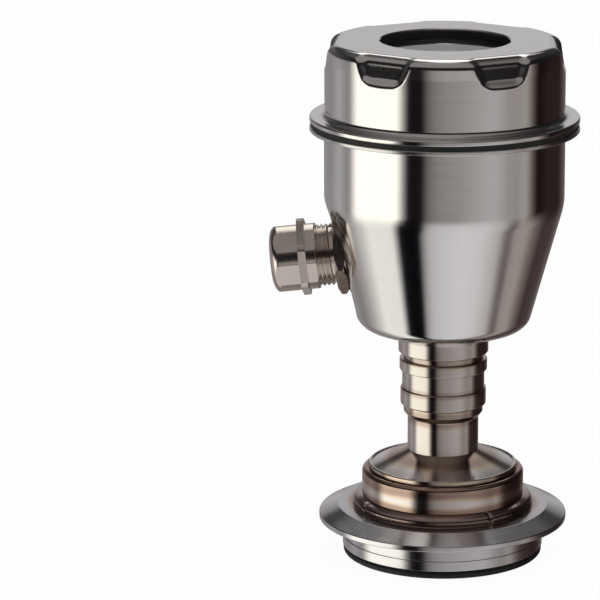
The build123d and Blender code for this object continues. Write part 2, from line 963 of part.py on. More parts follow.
def make_cover():
    body = cover_blank()
    cutter = grip_pocket()
    pocket_turn = lug_turn - 90.0 + 180.0 / lug_count
    for place in around(lug_count, 0, pocket_turn):
        body -= place * cutter
    thread_r = collar_d / 2 + pitch_clearance
    relief_z = cover_foot + cover_thread_depth
    bore_r = window_bore_d / 2
    inside = turned(
        (0, cover_foot),
        (thread_r, cover_foot),
        (thread_r, relief_z),
        (bore_r, relief_z),
        (bore_r, window_ceiling),
        (0, window_ceiling),
    )
    body -= inside
    opening = turned(
        (0, window_ceiling - 1),
        (window_lip_d / 2 + weld_gap, window_ceiling - 1),
        (window_lip_d / 2 + weld_gap, cover_top - window_lip_drop),
        (window_d / 2, cover_top - window_lip_drop),
        (window_d / 2, cover_top - window_edge),
        (window_d / 2 + window_edge, cover_top),
        (window_d / 2 + window_edge, cover_top + 1),
        (0, cover_top + 1),
    )
    return body - opening


def make_window_gasket():
    high = window_ceiling - seat_gap
    outer = window_bore_d / 2 - soft_gap
    glass_r = glass_d / 2 + soft_gap
    lip_top = cover_top - window_lip_drop - seat_gap
    return turned(
        (window_d / 2, high - window_gasket_thickness),
        (glass_r, high - window_gasket_thickness),
        (glass_r, glass_low),
        (outer, glass_low),
        (outer, high),
        (window_lip_d / 2, high),
        (window_lip_d / 2, lip_top),
        (window_d / 2, lip_top),
    )


def make_window_glass():
    return chamfered_ring(glass_d, 0.0, glass_low, glass_thickness, collar_chamfer)


def make_window_retainer():
    body = ring(window_bore_d - 2 * weld_gap, retainer_bore_d, retainer_low, retainer_height)
    notch = Pos(retainer_bore_d / 2, 0, retainer_low) * Box(
        retainer_notch * 2, retainer_notch, retainer_height, align=(Align.CENTER, Align.CENTER, Align.CENTER)
    )
    for place in around(retainer_notches, 0):
        body -= place * notch
    return body


# Electronics


def screw(head_z, length):
    """A pan-head screw, its head standing on head_z, with a cross recess."""
    head = rod(screw_head_d, head_z, screw_head_height)
    head = fillet(head.edges().group_by(Axis.Z)[-1], screw_head_height * 0.4)
    shank = rod(screw_d, head_z - length, length)
    recess = Pos(0, 0, head_z + screw_head_height * 0.45)
    bar = Box(screw_head_d * 0.6, cross_slot, screw_head_height, align=(Align.CENTER, Align.CENTER, Align.MIN))
    return head + shank - recess * bar - recess * Rot(0, 0, 90) * bar


def make_support_ring():
    outer = housing_d - 2 * sheet - 2 * weld_gap
    body = ring(outer, outer - 2 * support_width, support_z, support_thickness)
    band = rod(outer, support_z, support_thickness)
    for place in around(screw_count, support_tab_circle_d / 2, screw_turn):
        arm = Pos(support_tab_d / 2, 0, support_z) * Box(
            support_tab_d, support_tab_d, support_thickness, align=(Align.CENTER, Align.CENTER, Align.MIN)
        )
        body += (place * (rod(support_tab_d, support_z, support_thickness) + arm)) & band
    for place in around(screw_count, support_tab_circle_d / 2, screw_turn):
        body -= place * rod(screw_d + 2 * weld_gap, support_z, support_thickness)
    return body


def make_terminal_carrier():
    body = rod(carrier_d, carrier_low, carrier_thickness)
    body -= rod(carrier_hole_d, carrier_low, carrier_thickness)
    for place in around(screw_count, support_tab_circle_d / 2, screw_turn):
        body -= place * rod(screw_d + 2 * soft_gap, carrier_low, carrier_thickness)
    # Way for the wires on the gland's side
    way = Pos(-carrier_d / 2, 0, carrier_low) * Box(
        carrier_window_depth, carrier_window_width, carrier_thickness, align=(Align.CENTER, Align.CENTER, Align.MIN)
    )
    return body - way


def make_carrier_screws():
    one = screw(carrier_top + seat_gap, screw_length)
    return Part() + [place * one for place in around(screw_count, support_tab_circle_d / 2, screw_turn)]


def make_terminal_board():
    board = rod(terminal_board_d, terminal_board_low, board_thickness)
    return board - rod(carrier_hole_d, terminal_board_low, board_thickness)


def terminal_places():
    for index in range(terminal_count):
        yield (index - (terminal_count - 1) / 2) * terminal_pitch


def make_terminal_block():
    low = terminal_board_top + seat_gap
    body = Pos(0, block_y, low) * rounded_box(block_length, block_depth, block_height, 0.6)
    front_y = block_y - block_depth / 2
    for x in terminal_places():
        hole = Pos(x, front_y, low + block_height * 0.35)
        body -= hole * Box(wire_hole, wire_hole_depth * 2, wire_hole)
        well = Pos(x, block_y + block_depth * 0.1, 0)
        body -= well * rod(terminal_screw_d + 2 * soft_gap, low + block_height * 0.6, block_height)
    return body


def make_terminal_screws():
    low = terminal_board_top + seat_gap + block_height * 0.6 + seat_gap
    screws = []
    for x in terminal_places():
        body = rod(terminal_screw_d, low, terminal_screw_length)
        slot = Pos(0, 0, low + terminal_screw_length) * Box(terminal_screw_d, cross_slot, terminal_screw_d / 2)
        screws.append(Pos(x, block_y + block_depth * 0.1, 0) * (body - slot))
    return Part() + screws


def make_board_spacers():
    low = terminal_board_top + seat_gap
    one = hex_rod(spacer_flats, low, spacer_height, 0)
    return Part() + [place * one for place in around(screw_count, spacer_circle_d / 2, spacer_turn)]


def make_main_board():
    board = rod(main_board_d, main_board_low, board_thickness)
    notch = Pos(-main_board_d / 2, 0, main_board_low) * rod(carrier_hole_d, 0, board_thickness)
    return board - notch


def key_places():
    for index in range(key_count):
        yield (index - (key_count - 1) / 2) * key_pitch


def make_display_housing():
    inner = display_height - display_bezel
    body = rod(display_d, display_low, display_height)
    body = fillet(body.edges().group_by(Axis.Z)[-1], display_wall * 0.6)
    body -= rod(display_d - 2 * display_wall, display_low, inner)
    lens_low = display_top - lens_thickness - seat_gap
    body -= Pos(0, lcd_y, display_low) * Box(
        lcd_width - 2 * lens_margin,
        lcd_depth - 2 * lens_margin,
        display_height * 2,
    )
    body -= Pos(0, lcd_y, lens_low) * Box(
        lcd_width + 2 * lens_margin,
        lcd_depth + 2 * lens_margin,
        display_height,
        align=(Align.CENTER, Align.CENTER, Align.MIN),
    )
    for x in key_places():
        body -= Pos(x, key_y, 0) * rod(key_d + 2 * key_gap, display_low, display_height)
    return body


def make_lcd_panel():
    high = display_low + display_height - display_bezel - seat_gap
    panel = Pos(0, lcd_y, high - lcd_height) * Box(
        lcd_width, lcd_depth, lcd_height, align=(Align.CENTER, Align.CENTER, Align.MIN)
    )
    foot_height = high - lcd_height - main_board_top - seat_gap
    for x in (-lcd_width / 2 + 1.5, lcd_width / 2 - 1.5):
        panel += Pos(x, lcd_y, main_board_top + seat_gap) * Box(
            1.2, lcd_depth * 0.6, foot_height, align=(Align.CENTER, Align.CENTER, Align.MIN)
        )
    return panel


def make_display_lens():
    low = display_top - lens_thickness
    width = lcd_width + 2 * lens_margin - 2 * soft_gap
    depth = lcd_depth + 2 * lens_margin - 2 * soft_gap
    return Pos(0, lcd_y, low) * rounded_box(width, depth, lens_thickness, 0.4)


def make_key(x):
    """A cap with a flange that keeps it under the bezel, and a stem down to its switch."""
    flange_high = display_low + display_height - display_bezel - key_gap
    cap = rod(key_d, flange_high - key_flange_height, display_top + key_proud - flange_high + key_flange_height)
    cap = fillet(cap.edges().group_by(Axis.Z)[-1], key_proud * 0.35)
    flange = rod(key_flange_d, flange_high - key_flange_height, key_flange_height)
    stem_low = main_board_top + switch_height + key_gap
    stem = rod(key_stem_d, stem_low, flange_high - key_flange_height - stem_low)
    return Pos(x, key_y, 0) * (cap + flange + stem)


def make_key_switches():
    """Three tact switches on the board, each with a well that takes the key's stem."""
    low = main_board_top + seat_gap
    well_low = main_board_top + switch_height + key_gap - key_travel - key_gap
    switches = []
    for x in key_places():
        body = Pos(x, key_y, low) * Box(
            switch_width, switch_width, switch_height, align=(Align.CENTER, Align.CENTER, Align.MIN)
        )
        well = Pos(x, key_y, 0) * rod(key_stem_d + 2 * key_gap, well_low, switch_height)
        switches.append(body - well)
    return Part() + switches


def make_cable_plug():
    body = rod(plug_d, plug_low, plug_lift - seat_gap)
    lip_low = carrier_low - seat_gap - plug_lip_height
    lip = rod(plug_d + 2 * plug_lip_reach, lip_low, plug_lip_height)
    return body + lip


makers = {
    "process_flange": make_process_flange,
    "process_seal": make_process_seal,
    "diaphragm": make_diaphragm,
    "backing_plate": make_backing_plate,
    "sensor_capsule": make_sensor_capsule,
    "header_pins": make_header_pins,
    "capsule_clamp_ring": make_capsule_clamp_ring,
    "cell_board": make_cell_board,
    "cell_body": make_cell_body,
    "sensor_cable": make_sensor_cable,
    "neck_tube": make_neck_tube,
    "lower_collar": make_lower_collar,
    "swivel_sleeve": make_swivel_sleeve,
    "neck_o_ring": make_neck_o_ring,
    "thrust_washer": make_thrust_washer,
    "retaining_ring": make_retaining_ring,
    "housing_socket": make_housing_socket,
    "swivel_stop_pin": make_swivel_stop_pin,
    "housing_cup": make_housing_cup,
    "housing_rim": make_housing_rim,
    "gland_boss": make_gland_boss,
    "gland_body": make_gland_body,
    "gland_washer": make_gland_washer,
    "gland_locknut": make_gland_locknut,
    "sealing_insert": make_sealing_insert,
    "clamping_cage": make_clamping_cage,
    "dome_nut": make_dome_nut,
    "cover_gasket": make_cover_gasket,
    "cover": make_cover,
    "window_gasket": make_window_gasket,
    "window_glass": make_window_glass,
    "window_retainer": make_window_retainer,
    "support_ring": make_support_ring,
    "terminal_carrier": make_terminal_carrier,
    "carrier_screws": make_carrier_screws,
    "terminal_board": make_terminal_board,
    "terminal_block": make_terminal_block,
    "terminal_screws": make_terminal_screws,
    "board_spacers": make_board_spacers,
    "main_board": make_main_board,
    "display_housing": make_display_housing,
    "lcd_panel": make_lcd_panel,
    "display_lens": make_display_lens,
    "key_switches": make_key_switches,
    "cable_plug": make_cable_plug,
}

for name, make in makers.items():
    export_step(make(), f"parts/{name}.step")

for name, x in zip(("key_mode", "key_down", "key_up"), key_places()):
    export_step(make_key(x), f"parts/{name}.step")
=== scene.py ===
from math import atan2, ceil, cos, pi, radians, sin, sqrt, tan

import bmesh
import bpy
from mathutils import Matrix, Vector


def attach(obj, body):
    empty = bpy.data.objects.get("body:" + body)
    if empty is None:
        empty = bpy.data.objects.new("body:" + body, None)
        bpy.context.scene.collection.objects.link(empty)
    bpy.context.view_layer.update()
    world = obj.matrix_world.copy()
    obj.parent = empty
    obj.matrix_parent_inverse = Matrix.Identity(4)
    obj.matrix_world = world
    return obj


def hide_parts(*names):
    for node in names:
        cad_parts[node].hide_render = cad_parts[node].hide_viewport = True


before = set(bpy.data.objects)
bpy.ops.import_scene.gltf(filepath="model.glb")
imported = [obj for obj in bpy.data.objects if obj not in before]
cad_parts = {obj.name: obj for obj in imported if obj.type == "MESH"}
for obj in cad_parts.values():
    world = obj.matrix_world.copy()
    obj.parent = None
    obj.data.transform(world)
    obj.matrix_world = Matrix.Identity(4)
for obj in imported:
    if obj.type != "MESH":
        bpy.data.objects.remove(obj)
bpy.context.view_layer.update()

mm = 0.001

# camera

cameraSettings = {
    "place": (0.0, -1.1873, 0.3871),
    "pitch": 14.151,  # degrees below the horizon
    "roll": 0.35,
    "lens": 218.4,
    "shiftX": -0.2395,
    "sensor": 36.0,
    "clip": (0.01, 20.0),
}


def addCamera(settings):
    data = bpy.data.cameras.new("productCamera")
    data.lens = settings["lens"]
    data.sensor_width = settings["sensor"]
    data.shift_x = settings["shiftX"]
    data.clip_start, data.clip_end = settings["clip"]
    camera = bpy.data.objects.new("productCamera", data)
    bpy.context.scene.collection.objects.link(camera)
    tilt = Matrix.Rotation(radians(90 - settings["pitch"]), 4, "X")
    roll = Matrix.Rotation(radians(settings["roll"]), 4, "Z")
    camera.matrix_world = Matrix.Translation(settings["place"]) @ tilt @ roll
    bpy.context.scene.camera = camera


addCamera(cameraSettings)


# modelling helpers


def deselectAll():
    if bpy.context.object and bpy.context.object.mode != "OBJECT":
        bpy.ops.object.mode_set(mode="OBJECT")
    bpy.ops.object.select_all(action="DESELECT")


def makeActive(piece):
    deselectAll()
    piece.select_set(True)
    bpy.context.view_layer.objects.active = piece


def startChain(name, corners):
    # one vertex, extruded from corner to corner in the XZ plane
    deselectAll()
    bpy.ops.mesh.primitive_plane_add(size=mm, location=(0, 0, 0))
    piece = bpy.context.object
    piece.name = name
    piece.data.name = name
    bpy.ops.object.mode_set(mode="EDIT")
    bpy.ops.mesh.select_mode(type="VERT")
    bpy.ops.mesh.select_all(action="SELECT")
    bpy.ops.mesh.merge(type="CENTER")
    bpy.ops.transform.translate(value=(corners[0][0] * mm, 0, corners[0][1] * mm))
    for before, after in zip(corners, corners[1:]):
        step = ((after[0] - before[0]) * mm, 0, (after[1] - before[1]) * mm)
        bpy.ops.mesh.extrude_region_move(TRANSFORM_OT_translate={"value": step})
    return piece


def selectVertex(piece, r, z):
    mesh = bmesh.from_edit_mesh(piece.data)
    place = Vector((r * mm, 0, z * mm))
    for item in list(mesh.faces) + list(mesh.edges) + list(mesh.verts):
        item.select = False
    nearest = min(mesh.verts, key=lambda v: (v.co - place).length)
    nearest.select = True
    mesh.select_flush(True)
    bmesh.update_edit_mesh(piece.data)


def closeChain(piece):
    mesh = bmesh.from_edit_mesh(piece.data)
    ends = [v for v in mesh.verts if len(v.link_edges) == 1]
    for vert in mesh.verts:
        vert.select = vert in ends
    bmesh.update_edit_mesh(piece.data)
    bpy.ops.mesh.edge_face_add()


facetTurn = 12  # degrees a facet of a rounded corner, where none are given


def roundCorners(piece, corners):
    count = len(corners)
    for index, corner in enumerate(corners):
        if len(corner) < 3 or not corner[2]:
            continue
        here = Vector(corner[:2])
        before = (Vector(corners[index - 1][:2]) - here).normalized()
        after = (Vector(corners[(index + 1) % count][:2]) - here).normalized()
        turn = pi - before.angle(after)
        reach = corner[2] * tan(turn / 2)
        selectVertex(piece, *corner[:2])
        facet = corner[3] if len(corner) > 3 else facetTurn
        steps = max(3, ceil(turn / radians(facet)))
        bpy.ops.mesh.bevel(
            offset_type="OFFSET", offset=reach * mm, segments=steps, affect="VERTICES",
        )


def middle(edge):
    return (edge.verts[0].co + edge.verts[1].co) / 2


def splitLong(piece, limit, keep):
    # cuts the section's long edges where keep(r, z) holds at both ends
    mesh = bmesh.from_edit_mesh(piece.data)
    places = []
    for edge in mesh.edges:
        length = edge.calc_length() / mm
        if length > limit * 1.01 and all(keep(v.co.x / mm, v.co.z / mm) for v in edge.verts):
            places.append((middle(edge), ceil(length / limit) - 1))
    for place, cuts in places:
        mesh = bmesh.from_edit_mesh(piece.data)
        for item in list(mesh.edges) + list(mesh.verts):
            item.select = False
        edge = min(mesh.edges, key=lambda e: (middle(e) - place).length)
        edge.select_set(True)
        bmesh.update_edit_mesh(piece.data)
        bpy.ops.mesh.subdivide(number_cuts=cuts)


def spinChain(steps):
    bpy.ops.mesh.select_all(action="SELECT")
    bpy.ops.mesh.spin(steps=steps, angle=2 * pi, center=(0, 0, 0), axis=(0, 0, 1))
    bpy.ops.mesh.select_all(action="SELECT")
    bpy.ops.mesh.remove_doubles(threshold=1e-6)
    bpy.ops.mesh.select_all(action="SELECT")
    bpy.ops.mesh.normals_make_consistent(inside=False)
    bpy.ops.object.mode_set(mode="OBJECT")


def turnPiece(name, corners, steps=192, limit=None, keep=None):
    # corners round the section in millimetres: (r, z), then where wanted round and degrees a facet
    piece = startChain(name, corners)
    closeChain(piece)
    roundCorners(piece, corners)
    if limit:
        splitLong(piece, limit, keep)
    spinChain(steps)
    return piece


def smoothPiece(piece, angle=32):
    makeActive(piece)
    bpy.ops.object.shade_smooth_by_angle(angle=radians(angle))
    bpy.ops.object.modifier_add(type="WEIGHTED_NORMAL")
    piece.modifiers[-1].keep_sharp = True
    bpy.ops.object.modifier_apply(modifier=piece.modifiers[-1].name)


def hexBar(name, flats, low, high, turn):
    # a six-sided bar along Z, its first flat turned by the given angle
    deselectAll()
    bpy.ops.mesh.primitive_cylinder_add(
        vertices=6,
        radius=flats / 2 / cos(pi / 6) * mm,
        depth=(high - low) * mm,
        location=(0, 0, (low + high) / 2 * mm),
        rotation=(0, 0, radians(turn)),
    )
    bar = bpy.context.object
    bar.name = name
    bpy.ops.object.transform_apply(location=True, rotation=True, scale=True)
    return bar


def keepInside(piece, tool):
    makeActive(piece)
    bpy.ops.object.modifier_add(type="BOOLEAN")
    change = piece.modifiers[-1]
    change.operation = "INTERSECT"
    change.solver = "EXACT"
    change.object = tool
    bpy.ops.object.modifier_apply(modifier=change.name)
    bpy.data.objects.remove(tool)


def bevelEdges(piece, width, angle):
    makeActive(piece)
    bpy.ops.object.modifier_add(type="BEVEL")
    change = piece.modifiers[-1]
    change.width = width * mm
    change.segments = 2
    change.limit_method = "ANGLE"
    change.angle_limit = radians(angle)
    bpy.ops.object.modifier_apply(modifier=change.name)


def placePiece(piece, matrix):
    piece.matrix_world = matrix
    makeActive(piece)
    bpy.ops.object.transform_apply(location=True, rotation=True, scale=True)


def dress(piece, body, nodes, material):
    smoothPiece(piece)
    piece.data.materials.clear()
    piece.data.materials.append(material)
    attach(piece, body)
    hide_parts(*nodes)


# materials


def newMaterial(name):
    material = bpy.data.materials.new(name)
    material.use_nodes = True
    return material, material.node_tree.nodes, material.node_tree.links


def feed(links, value, socket):
    # value is another node's output, or a constant
    if isinstance(value, bpy.types.NodeSocket):
        links.new(value, socket)
    else:
        socket.default_value = value


def addMath(nodes, links, operation, first, second=None):
    node = nodes.new("ShaderNodeMath")
    node.operation = operation
    feed(links, first, node.inputs[0])
    if second is not None:
        feed(links, second, node.inputs[1])
    return node.outputs[0]


def addRange(nodes, links, value, span, low=0.0, high=1.0):
    node = nodes.new("ShaderNodeMapRange")
    node.inputs["From Min"].default_value, node.inputs["From Max"].default_value = span
    feed(links, value, node.inputs["Value"])
    feed(links, low, node.inputs["To Min"])
    feed(links, high, node.inputs["To Max"])
    return node.outputs[0]


def addMix(nodes, links, share, first, second, blend="MIX"):
    # inputs 6 and 7 and output 2 are the mix node's colours
    node = nodes.new("ShaderNodeMix")
    node.data_type = "RGBA"
    node.blend_type = blend
    feed(links, share, node.inputs["Factor"])
    feed(links, first, node.inputs[6])
    feed(links, second, node.inputs[7])
    return node.outputs[2]


def addNoise(nodes, links, vector, scale, detail=2.0):
    node = nodes.new("ShaderNodeTexNoise")
    links.new(vector, node.inputs["Vector"])
    feed(links, scale, node.inputs["Scale"])
    node.inputs["Detail"].default_value = detail
    return node


def addNoises(nodes, links, noises, shares):
    # the sum of two noises, each times its share
    parts = []
    for noise, share in zip(noises, shares):
        parts.append(addMath(nodes, links, "MULTIPLY", noise.outputs["Fac"], share))
    return addMath(nodes, links, "ADD", *parts)


def addRadius(nodes, links, split):
    squares = [addMath(nodes, links, "MULTIPLY", side, side) for side in split.outputs[:2]]
    return addMath(nodes, links, "SQRT", addMath(nodes, links, "ADD", *squares))


def newGroup(name, numbers, colors, outputs):
    # a shader group with a vector, these numbers and these colours going in
    group = bpy.data.node_groups.new(name, "ShaderNodeTree")
    face = group.interface
    face.new_socket("Vector", in_out="INPUT", socket_type="NodeSocketVector")
    for label in numbers:
        face.new_socket(label, in_out="INPUT", socket_type="NodeSocketFloat")
    for label in colors:
        face.new_socket(label, in_out="INPUT", socket_type="NodeSocketColor")
    for label in outputs:
        kind = "NodeSocketColor" if label == "Color" else "NodeSocketFloat"
        face.new_socket(label, in_out="OUTPUT", socket_type=kind)
    nodes = group.nodes
    return group, nodes, group.links, nodes.new("NodeGroupInput"), nodes.new("NodeGroupOutput")


patchSpan = (0.35, 0.65)  # the part of a noise's range that the surfaces use

grainSettings = {
    "least": 0.0005,  # smallest radius in metres that the lines go round
    "around": 1.6,  # how much a line changes on its way round
    "detail": 3.0,
    "lineRough": 0.65,
    "shares": (0.6, 0.4),  # of the lines and of the patches
}


def makeTurnedGrain(settings):
    # fine lines round the Z axis of the coordinates, with soft patches over them
    group, nodes, links, start, end = newGroup(
        "turnedGrain", ("Lines", "Patches", "Rough Low", "Rough High"), ("Pale", "Dark"),
        ("Color", "Roughness", "Height"),
    )
    split = nodes.new("ShaderNodeSeparateXYZ")
    links.new(start.outputs["Vector"], split.inputs[0])
    radius = addRadius(nodes, links, split)
    safe = addMath(nodes, links, "MAXIMUM", radius, settings["least"])
    joined = nodes.new("ShaderNodeCombineXYZ")
    for i in (0, 1):
        around = addMath(nodes, links, "DIVIDE", split.outputs[i], safe)
        links.new(addMath(nodes, links, "MULTIPLY", around, settings["around"]), joined.inputs[i])
    along = addMath(nodes, links, "MULTIPLY", split.outputs[2], start.outputs["Lines"])
    links.new(along, joined.inputs[2])
    detail = settings["detail"]
    lines = addNoise(nodes, links, joined.outputs[0], 1.0, detail)
    lines.noise_dimensions = "4D"
    lines.inputs["Roughness"].default_value = settings["lineRough"]
    links.new(addMath(nodes, links, "MULTIPLY", radius, start.outputs["Lines"]), lines.inputs["W"])
    patches = addNoise(nodes, links, start.outputs["Vector"], start.outputs["Patches"], detail)
    both = addNoises(nodes, links, (lines, patches), settings["shares"])
    smooth, rough = start.outputs["Rough Low"], start.outputs["Rough High"]
    rough = addRange(nodes, links, both, patchSpan, smooth, rough)
    shade = addRange(nodes, links, both, patchSpan)
    color = addMix(nodes, links, shade, start.outputs["Dark"], start.outputs["Pale"])
    links.new(color, end.inputs["Color"])
    links.new(rough, end.inputs["Roughness"])
    links.new(lines.outputs["Fac"], end.inputs["Height"])
    return group


def addRamp(nodes, links, value, places):
    ramp = nodes.new("ShaderNodeValToRGB")
    stops = ramp.color_ramp.elements
    for stop, (place, color) in zip(stops, (places[0], places[-1])):
        stop.position, stop.color = place, (*color, 1)
    for place, color in places[1:-1]:
        stops.new(place).color = (*color, 1)
    links.new(value, ramp.inputs["Fac"])
    return ramp.outputs["Color"]


heatSettings = {
    "wobbleScale": 60.0,
    "wobble": 0.5,  # share of the reach that the rings stray by
    # distance from the weld over its reach, then what the steel's colour is multiplied by
    "tints": [
        (0.0, (0.62, 0.50, 0.42)), (0.35, (0.55, 0.40, 0.31)), (0.6, (0.60, 0.47, 0.45)),
        (0.8, (0.92, 0.80, 0.62)), (1.0, (1.0, 1.0, 1.0)),
    ],
}


def makeHeatTint(settings):
    # oxide colours in a ring about a weld at radius R and height Z
    group, nodes, links, start, end = newGroup(
        "heatTint", ("R", "Z", "Reach", "Amount"), ("Base",), ("Color",),
    )
    split = nodes.new("ShaderNodeSeparateXYZ")
    links.new(start.outputs["Vector"], split.inputs[0])
    offR = addMath(nodes, links, "SUBTRACT", addRadius(nodes, links, split), start.outputs["R"])
    offZ = addMath(nodes, links, "SUBTRACT", split.outputs[2], start.outputs["Z"])
    squares = [addMath(nodes, links, "MULTIPLY", off, off) for off in (offR, offZ)]
    away = addMath(nodes, links, "SQRT", addMath(nodes, links, "ADD", *squares))
    away = addMath(nodes, links, "DIVIDE", away, start.outputs["Reach"])
    wobble = addNoise(nodes, links, start.outputs["Vector"], settings["wobbleScale"])
    shift = addMath(nodes, links, "SUBTRACT", wobble.outputs["Fac"], 0.5)
    shift = addMath(nodes, links, "MULTIPLY", shift, settings["wobble"])
    away = addMath(nodes, links, "ADD", away, shift)
    tint = addRamp(nodes, links, away, settings["tints"])
    mixed = addMix(nodes, links, start.outputs["Amount"], start.outputs["Base"], tint, "MULTIPLY")
    links.new(mixed, end.inputs["Color"])
    return group


speckleSettings = {"detail": 3.0, "broadScale": 60.0, "shares": (0.5, 0.5)}


def makeSpeckle(settings):
    # soft mottling for moulded and rubber pieces
    group, nodes, links, start, end = newGroup(
        "mouldedSurface", ("Scale", "Rough Low", "Rough High"), ("Pale", "Dark"),
        ("Color", "Roughness", "Height"),
    )
    detail = settings["detail"]
    fine = addNoise(nodes, links, start.outputs["Vector"], start.outputs["Scale"], detail)
    broad = addNoise(nodes, links, start.outputs["Vector"], settings["broadScale"])
    both = addNoises(nodes, links, (fine, broad), settings["shares"])
    smooth, rough = start.outputs["Rough Low"], start.outputs["Rough High"]
    rough = addRange(nodes, links, both, patchSpan, smooth, rough)
    color = addMix(nodes, links, both, start.outputs["Dark"], start.outputs["Pale"])
    links.new(color, end.inputs["Color"])
    links.new(rough, end.inputs["Roughness"])
    links.new(fine.outputs["Fac"], end.inputs["Height"])
    return group


turnedGrain = makeTurnedGrain(grainSettings)
heatTint = makeHeatTint(heatSettings)
mouldedSurface = makeSpeckle(speckleSettings)


def addGroup(nodes, links, tree, vector, values):
    node = nodes.new("ShaderNodeGroup")
    node.node_tree = tree
    links.new(vector, node.inputs["Vector"])
    for label, value in values.items():
        feed(links, value, node.inputs[label])
    return node


def finishSurface(nodes, links, look, surface, color):
    shader = nodes["Principled BSDF"]
    shader.inputs["Metallic"].default_value = look["metal"]
    links.new(color, shader.inputs["Base Color"])
    links.new(surface.outputs["Roughness"], shader.inputs["Roughness"])
    bump = nodes.new("ShaderNodeBump")
    bump.inputs["Strength"].default_value = look["bump"]
    bump.inputs["Distance"].default_value = look["bumpReach"]
    links.new(surface.outputs["Height"], bump.inputs["Height"])
    links.new(bump.outputs[0], shader.inputs["Normal"])


def lookValues(look):
    return {
        "Rough Low": look["low"], "Rough High": look["high"],
        "Pale": (*look["pale"], 1), "Dark": (*look["dark"], 1),
    }


# what a steel's look has besides pale, dark, lines, low, high, aniso and bump
# tints are (r, z, reach, amount), in millimetres
steelDefaults = {"metal": 1.0, "anisoTurn": 0.25, "patches": 45, "tints": (), "bumpReach": 0.00002}


def steelMaterial(name, look):
    look = {**steelDefaults, **look}
    material, nodes, links = newMaterial(name)
    shader = nodes["Principled BSDF"]
    shader.inputs["Anisotropic"].default_value = look["aniso"]
    shader.inputs["Anisotropic Rotation"].default_value = look["anisoTurn"]
    vector = nodes.new("ShaderNodeTexCoord").outputs["Object"]
    values = {"Lines": look["lines"], "Patches": look["patches"], **lookValues(look)}
    grain = addGroup(nodes, links, turnedGrain, vector, values)
    color = grain.outputs["Color"]
    for r, z, reach, amount in look["tints"]:
        values = {"Base": color, "R": r * mm, "Z": z * mm, "Reach": reach * mm, "Amount": amount}
        color = addGroup(nodes, links, heatTint, vector, values).outputs["Color"]
    if look["aniso"]:
        tangent = nodes.new("ShaderNodeTangent")
        tangent.direction_type = "RADIAL"
        tangent.axis = "Z"
        links.new(tangent.outputs[0], shader.inputs["Tangent"])
    finishSurface(nodes, links, look, grain, color)
    return material


# what a moulded look has besides pale, dark, low and high
mouldedDefaults = {"metal": 0.0, "scale": 900.0, "bump": 0.2, "bumpReach": 0.00003}


def mouldedMaterial(name, look):
    look = {**mouldedDefaults, **look}
    material, nodes, links = newMaterial(name)
    vector = nodes.new("ShaderNodeTexCoord").outputs["Object"]
    values = {"Scale": look["scale"], **lookValues(look)}
    surface = addGroup(nodes, links, mouldedSurface, vector, values)
    finishSurface(nodes, links, look, surface, surface.outputs["Color"])
    return material


glassLook = {
    "color": (0.93, 0.95, 0.94, 1), "bend": 1.5, "scale": 50.0, "detail": 3.0, "rough": (0.0, 0.05),
}


def glassMaterial(name, look):
    material, nodes, links = newMaterial(name)
    shader = nodes["Principled BSDF"]
    shader.inputs["Base Color"].default_value = look["color"]
    shader.inputs["Transmission Weight"].default_value = 1.0
    shader.inputs["IOR"].default_value = look["bend"]
    vector = nodes.new("ShaderNodeTexCoord").outputs["Object"]
    smear = addNoise(nodes, links, vector, look["scale"], look["detail"])
    rough = addRange(nodes, links, smear.outputs["Fac"], (0.0, 1.0), *look["rough"])
    links.new(rough, shader.inputs["Roughness"])
    return material


steelLooks = {
    "housingSteel": {
        "pale": (0.80, 0.79, 0.77), "dark": (0.74, 0.72, 0.70), "lines": 7000, "low": 0.10,
        "high": 0.16, "aniso": 0.75, "bump": 0.25,
    },
    "coverSteel": {
        "pale": (0.78, 0.76, 0.74), "dark": (0.71, 0.69, 0.67), "lines": 7000, "low": 0.10,
        "high": 0.16, "aniso": 0.7, "bump": 0.25,
    },
    "rimSteel": {
        "pale": (0.74, 0.73, 0.71), "dark": (0.66, 0.64, 0.62), "lines": 9000, "low": 0.20,
        "high": 0.30, "aniso": 0.7, "bump": 0.25,
    },
    "neckSteel": {
        "pale": (0.70, 0.66, 0.62), "dark": (0.60, 0.55, 0.51), "lines": 11000, "low": 0.14,
        "high": 0.22, "aniso": 0.7, "bump": 0.3,
        "tints": [(12.6, 48.9, 3.6, 0.7), (13.4, 69.0, 2.6, 0.6), (14.6, 57.9, 1.8, 0.5)],
    },
    "cellSteel": {
        "pale": (0.76, 0.72, 0.70), "dark": (0.64, 0.59, 0.57), "lines": 9000, "low": 0.14,
        "high": 0.22, "aniso": 0.7, "bump": 0.3,
        "tints": [(27.4, 28.6, 4.2, 1.0), (27.6, 20.0, 3.4, 1.0), (14.0, 35.6, 7.0, 0.9)],
    },
    "flangeSteel": {
        "pale": (0.74, 0.72, 0.73), "dark": (0.66, 0.64, 0.65), "lines": 9000, "low": 0.14,
        "high": 0.22, "aniso": 0.7, "bump": 0.3, "tints": [(29.0, 18.0, 4.2, 0.9)],
    },
    "nickelPlate": {
        "pale": (0.74, 0.68, 0.62), "dark": (0.64, 0.57, 0.51), "lines": 9000, "patches": 120,
        "low": 0.16, "high": 0.26, "aniso": 0.0, "bump": 0.15,
    },
}
steels = {name: steelMaterial(name, look) for name, look in steelLooks.items()}

